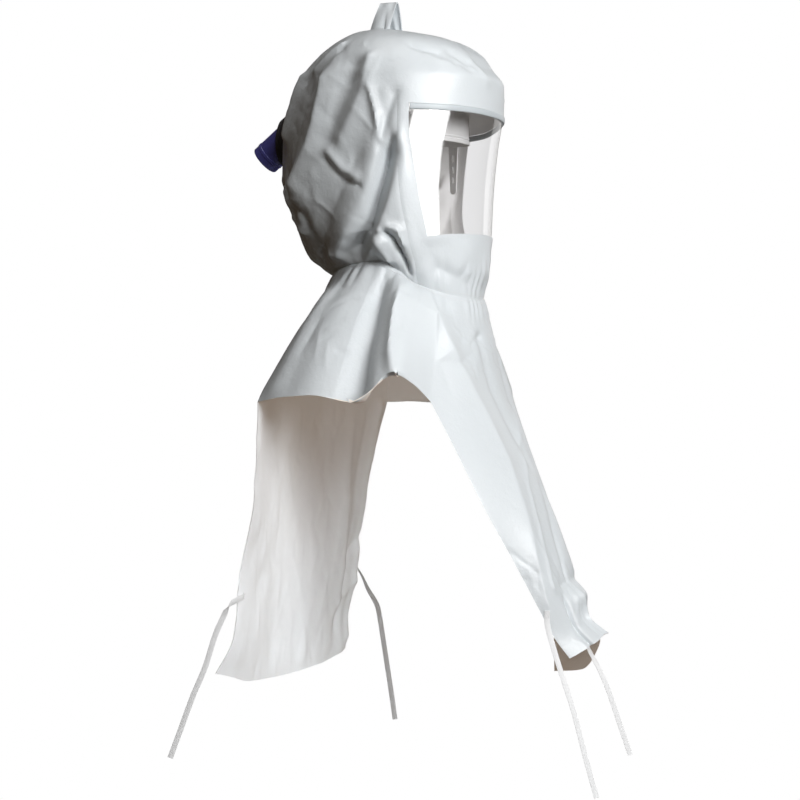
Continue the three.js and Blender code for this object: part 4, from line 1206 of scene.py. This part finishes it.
# The tube's profile: each corner is a radius and a depth behind the mouth
def makeInlet(form):
    radius, bore, length = form["radius"], form["bore"], form["length"]
    (outAcross, outAlong), (inAcross, inAlong) = form["mouth"]
    bead = form["bead"]
    high, slope = bead["high"], bead["slope"]
    near, far = bead["from"], bead["to"]
    profile = [
        (bore + inAcross, 0), (bore, inAlong), (bore, length), (radius, length),
        (radius, far), (radius + high, far - slope), (radius + high, near + slope), (radius, near),
        (radius, outAlong), (radius - outAcross, 0),
    ]
    spokes = inletSpokes()
    sections = [inletEnd + spokes * corner - inletAxis * depth for corner, depth in profile]
    tube = loftMesh("airInlet", np.stack(sections, axis=1), form["sharp"], ring=True)
    finishPiece(tube, [inletPlastic], "air_inlet")


# The collar's faces follow the cloth behind the head, so each ring of it is cut aslant
def makeCollar(form):
    inner, outer = form["radius"] + form["collarClear"], form["collarRadius"]
    near, far = form["collarFrom"], form["collarTo"]
    profile = [(inner, near), (inner, far), (outer, far)]
    profile += [(outer - less, near - deep) for less, deep in form["collarGroove"]]
    sections = []
    for radius, back in profile:
        ring = inletEnd + inletSpokes() * radius
        sections.append(ring - inletAxis * ((ring[:, 1] - back) / inletAxis[1])[:, None])
    collar = loftMesh("inletCollar", np.stack(sections, axis=1), form["sharp"], ring=True)
    finishPiece(collar, [collarBlackAndShade], "inlet_collar")


makeInlet(inletForm)
makeCollar(inletForm)
print("air inlet made")

# Head harness: a deep headband with a double bead along its lower edge, and slotted straps beside the face
bandForm = {
    "ahead": -25,
    "depth": 100,
    "side": 78,
    "wall": 2.5,
    # bearing, top, bottom
    "edges": [(0, -84, -125), (45, -84.5, -122), (90, -88, -116), (180, -92.4, -117)],
    # the beads' corners: out from the wall, up from the lower edge
    "beads": [(0, 9.2), (0.7, 8.4), (0.7, 7.2), (0, 6.4), (0, 5.6), (1.2, 4.8), (1.2, 0.7), (0.6, 0)],
    "bevel": 0.5,
    "steps": 180,
    "sharp": 35,
}


def bandPoint(bearing, out, up):
    turn = np.radians(bearing)
    ahead = bandForm["ahead"] + (bandForm["depth"] + out) * np.cos(turn)
    return at((bandForm["side"] + out) * np.sin(turn), ahead, up)


def makeHeadband(form):
    bearing = np.linspace(-180, 180, form["steps"], endpoint=False)
    top = sampleColumn(form["edges"], 1, np.abs(bearing))
    bottom = sampleColumn(form["edges"], 2, np.abs(bearing))
    wall, bevel = form["wall"], form["bevel"]
    profile = [(top, wall - bevel, 0), (top, wall, -bevel)]  # the edge that a corner lies by, out, up
    profile += [(bottom, wall + out, up) for out, up in form["beads"]]
    profile += [(bottom, bevel, 0), (bottom, 0, bevel), (top, 0, -bevel), (top, bevel, 0)]
    sections = [bandPoint(bearing, out, edge + up) for edge, out, up in profile]
    band = loftMesh("headBand", np.stack(sections, axis=1), form["sharp"], ring=True)
    finishPiece(band, [harnessPlastic], "headband")


strapForm = {
    "bearing": 57,
    "overlap": 12,
    "length": 62,
    "topWidth": 18,
    "endWidth": 11,
    "thick": 1.6,
    "clear": 0.3,
    "corner": 4,
    "rows": 60,
    "columns": 12,
    "slots": [(0.3, 0.42), (0.5, 0.62), (0.7, 0.8)],
    "slotHalf": 2,
}


def makeTempleStrap(name, node, side, form):
    bottom = float(sampleColumn(bandForm["edges"], 2, form["bearing"]))
    bead = max(out for out, _ in bandForm["beads"])
    out = bandForm["wall"] + bead + form["clear"] + form["thick"]
    full = form["overlap"] + form["length"]
    share = np.linspace(0, 1, form["rows"])[:, None]
    up = blend(bottom + form["overlap"], bottom - form["length"], share)
    width = np.interp(share, [form["overlap"] / full, 1], [form["topWidth"], form["endWidth"]])
    fromEnd = np.minimum(np.minimum(share, 1 - share) * full, form["corner"])
    width = width - 2 * (form["corner"] - np.sqrt(form["corner"] ** 2 - (form["corner"] - fromEnd) ** 2))
    bearing = side * form["bearing"]
    tangent = unit(bandPoint(bearing + 1, out, 0) - bandPoint(bearing - 1, out, 0))
    centre = bandPoint(np.full_like(up, bearing), out, up)
    across = np.linspace(-0.5, 0.5, form["columns"])[None]
    points = centre + (width * across)[..., None] * tangent
    outward = gridNormals(points, ring=False)
    middle = (share[:-1] + share[1:]) / 2
    inSlot = np.zeros((form["rows"] - 1, form["columns"] - 1), bool)
    columns = np.abs(np.arange(form["columns"] - 1) - (form["columns"] - 2) / 2) < form["slotHalf"]
    for low, high in form["slots"]:
        inSlot |= (middle > low) & (middle < high) & columns[None]
    strap = wallMesh(name, points, outward, form["thick"], ~inSlot)
    strap.data.polygons.foreach_set("material_index", np.zeros(len(strap.data.polygons), np.int32))
    finishPiece(strap, [harnessPlastic], node)


makeHeadband(bandForm)
makeTempleStrap("templeStrapRight", "temple_strap_right", -1, strapForm)
makeTempleStrap("templeStrapLeft", "temple_strap_left", 1, strapForm)

# Plain frame pieces that stay, with their own finish
keptFinish = {"crown_strap": elasticWeave, "neck_band": elasticWeave, "air_duct": harnessPlastic}
for node, material in keptFinish.items():
    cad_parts[node].material_slots[0].material = material
print("harness made")

# Stitches: one node tree sets a short thread along each sewn line
stitchForm = {"pitch": 3.6, "long": 1.35, "thick": 0.32}
tackForm = {"pitch": 1.9, "long": 0.85, "thick": 0.24, "lift": 0.1, "half": 2.52, "from": 1, "to": 9}
neckSeam = {"hoodShare": 0.988, "capeShare": 0.035, "lift": 0.25}


def makeStitchTree():
    tree = bpy.data.node_groups.new("stitchRow", "GeometryNodeTree")
    face = tree.interface
    face.new_socket("Line", in_out="INPUT", socket_type="NodeSocketGeometry")
    for name in ("Pitch", "Half Length", "Half Thickness"):
        face.new_socket(name, in_out="INPUT", socket_type="NodeSocketFloat")
    face.new_socket("Thread", in_out="INPUT", socket_type="NodeSocketMaterial")
    face.new_socket("Stitches", in_out="OUTPUT", socket_type="NodeSocketGeometry")

    def node(kind, settings, sockets):
        return addNode(tree, kind, settings, sockets)

    given = tree.nodes.new("NodeGroupInput").outputs
    curve = node("GeometryNodeMeshToCurve", {}, {"Mesh": given["Line"]})
    sockets = {"Curve": curve[0], "Length": given["Pitch"]}
    places = node("GeometryNodeCurveToPoints", {"mode": "LENGTH"}, sockets)
    turned = node("FunctionNodeAlignRotationToVector", {"axis": "Z"}, {"Vector": places["Tangent"]})
    bead = node("GeometryNodeMeshUVSphere", {}, {"Segments": 6, "Rings": 5, "Radius": 1.0})
    thick, long = given["Half Thickness"], given["Half Length"]
    size = node("ShaderNodeCombineXYZ", {}, {"X": thick, "Y": thick, "Z": long})
    sockets = {"Points": places["Points"], "Instance": bead["Mesh"], "Rotation": turned[0], "Scale": size[0]}
    placed = node("GeometryNodeInstanceOnPoints", {}, sockets)
    real = node("GeometryNodeRealizeInstances", {}, {"Geometry": placed[0]})
    smooth = node("GeometryNodeSetShadeSmooth", {}, {"Geometry": real[0]})
    painted = node("GeometryNodeSetMaterial", {}, {"Geometry": smooth[0], "Material": given["Thread"]})
    node("NodeGroupOutput", {}, {"Stitches": painted[0]})
    return tree


stitchTree = makeStitchTree()


def makeStitches(name, lines, form):
    mesh = bpy.data.meshes.new(name + "Lines")
    points = np.concatenate(lines)
    starts = np.cumsum([0] + [len(line) for line in lines])
    edges = [(i, i + 1) for k, line in enumerate(lines) for i in range(starts[k], starts[k] + len(line) - 1)]
    mesh.from_pydata((points * mm).tolist(), edges, [])
    piece = addObject(name, mesh)
    modifier = piece.modifiers.new("stitches", "NODES")
    modifier.node_group = stitchTree
    sockets = stitchTree.interface.items_tree
    inputs = {socket.name: socket.identifier for socket in sockets if socket.in_out == "INPUT"}
    modifier[inputs["Pitch"]] = form["pitch"] * mm
    modifier[inputs["Half Length"]] = form["long"] * mm
    modifier[inputs["Half Thickness"]] = form["thick"] * mm
    modifier[inputs["Thread"]] = threadWhite
    evaluated = piece.evaluated_get(bpy.context.evaluated_depsgraph_get())
    made = bpy.data.meshes.new_from_object(evaluated)
    piece.modifiers.clear()
    piece.data = made
    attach(piece, body)


def sewnLine(grid, share, lift):
    row = np.abs(grid["share"][:, 0] - share).argmin()
    line = grid["points"][row] + grid["outward"][row] * lift
    return np.concatenate([line, line[:1]])


# A small box of stitches on each tie's root
def bartackLines(root):
    top = root["start"] + root["off"] * (tieForm["thick"] / 2 + tackForm["lift"])
    wide, near, far = tackForm["half"], tackForm["from"], tackForm["to"]
    corners = [(-wide, near), (wide, near), (wide, far), (-wide, far), (-wide, near), (wide, far)]
    return np.array([top + root["flat"] * w + root["along"] * a for w, a in corners])


neckLines = [
    sewnLine(hoodGrid, neckSeam["hoodShare"], neckSeam["lift"]),
    sewnLine(capeGrid, neckSeam["capeShare"], neckSeam["lift"]),
]
makeStitches("neckStitches", neckLines, stitchForm)
makeStitches("tieStitches", [bartackLines(root) for root in tieRoots.values()], tackForm)
print("stitches made")


# Stage: pale floor, soft lamps round the hood and a dim warm room
stageForm = {"floorUp": -0.96, "floorHalf": 30}
stageLights = {  # matt: a lamp that makes no gloss, only: the pieces that a small lamp fills
    "keyLight": {
        "bearing": -48, "distance": 2.3, "up": 0.7, "aimUp": -0.35,
        "size": (0.9, 0.9), "power": 20,
    },
    "frontLight": {
        "bearing": -26, "distance": 2.6, "up": 0.45, "aimUp": -0.35,
        "size": (0.8, 1.2), "power": 53,
    },
    "topLight": {
        "bearing": -118, "distance": 0.25, "up": 2.0, "aimUp": -0.3,
        "size": (1.2, 1.2), "power": 11,
    },
    "backLight": {
        "bearing": 118, "distance": 2.6, "up": 0.5, "aimUp": -0.4,
        "size": (1.6, 1.6), "power": 52, "matt": True,
    },
    "farLight": {
        "bearing": 80, "distance": 2.4, "up": 0.2, "aimUp": -0.4,
        "size": (1.4, 1.4), "power": 5,
    },
    "bibLight": {
        "bearing": -62, "distance": 0.8, "up": -0.74, "aimUp": -0.8,
        "size": (0.3, 0.3), "power": 0.44, "spread": 40, "tint": (0.9, 0.97, 1.0), "only": ["backCape"],
    },
    "faceLight": {
        "bearing": -46, "distance": 2.0, "up": -0.45, "aimUp": -0.32,
        "size": (0.6, 0.6), "power": 0.2, "spread": 22, "only": ["hoodFront", "frontCape"],
    },
    "visorPanel": {
        "bearing": -31, "distance": 2.2, "up": -0.3, "aimUp": -0.3,
        "size": (1.75, 3.2), "power": 110, "only": ["visorLens"],
    },
}
roomLight = {"warm": colour(1.0, 0.76, 0.55), "strength": 0.045, "white": colour(1, 1, 1)}


def makeFloor(form):
    half, up = form["floorHalf"], form["floorUp"]
    mesh = bpy.data.meshes.new("floor")
    corners = [(-half, -half, up), (half, -half, up), (half, half, up), (-half, half, up)]
    mesh.from_pydata(corners, [], [(0, 1, 2, 3)])
    floor = addObject("floor", mesh)
    finish = Finish("paleFloor", Base_Color=colour(0, 0, 0), Roughness=1.0, Specular_IOR_Level=0.0,
                    Emission_Strength=1.0, Emission_Color=colour(1, 1, 1))
    mesh.materials.append(finish.material)
    floor.visible_diffuse = False
    floor.visible_glossy = False
    floor.visible_shadow = False


def addLight(name, light):
    data = bpy.data.lights.new(name, "AREA")
    data.shape = "RECTANGLE"
    data.size, data.size_y = light["size"]
    data.energy = light["power"]
    data.color = light.get("tint", (1, 1, 1))
    data.spread = math.radians(light.get("spread", 180))
    lamp = addObject(name, data)
    lamp.location = levelVector(light["bearing"]) * light["distance"] + Vector((0, 0, light["up"]))
    aim = Vector((0, 0, light["aimUp"]))
    lamp.rotation_euler = (aim - lamp.location).to_track_quat("-Z", "Y").to_euler()
    lamp.visible_camera = False
    lamp.visible_glossy = not light.get("matt", False)
    if "only" in light:
        lit = bpy.data.collections.new(name + "Only")
        for piece in light["only"]:
            lit.objects.link(bpy.data.objects[piece])
        lamp.light_linking.receiver_collection = lit


# A dim warm room that the camera sees as white
def makeRoom(light):
    world = bpy.data.worlds.new("room")
    world.use_nodes = True
    tree = world.node_tree
    background = tree.nodes["Background"]
    background.inputs["Color"].default_value = light["warm"]
    background.inputs["Strength"].default_value = light["strength"]
    white = addNode(tree, "ShaderNodeBackground", {}, {"Color": light["white"]})
    path = addNode(tree, "ShaderNodeLightPath", {}, {})
    sockets = {0: path["Is Camera Ray"], 1: background.outputs[0], 2: white[0]}
    mix = addNode(tree, "ShaderNodeMixShader", {}, sockets)
    tree.links.new(mix[0], tree.nodes["World Output"].inputs["Surface"])
    bpy.context.scene.world = world
    bpy.context.scene.view_settings.view_transform = "Standard"


makeFloor(stageForm)
for name, light in stageLights.items():
    addLight(name, light)
makeRoom(roomLight)
print("stage lit")
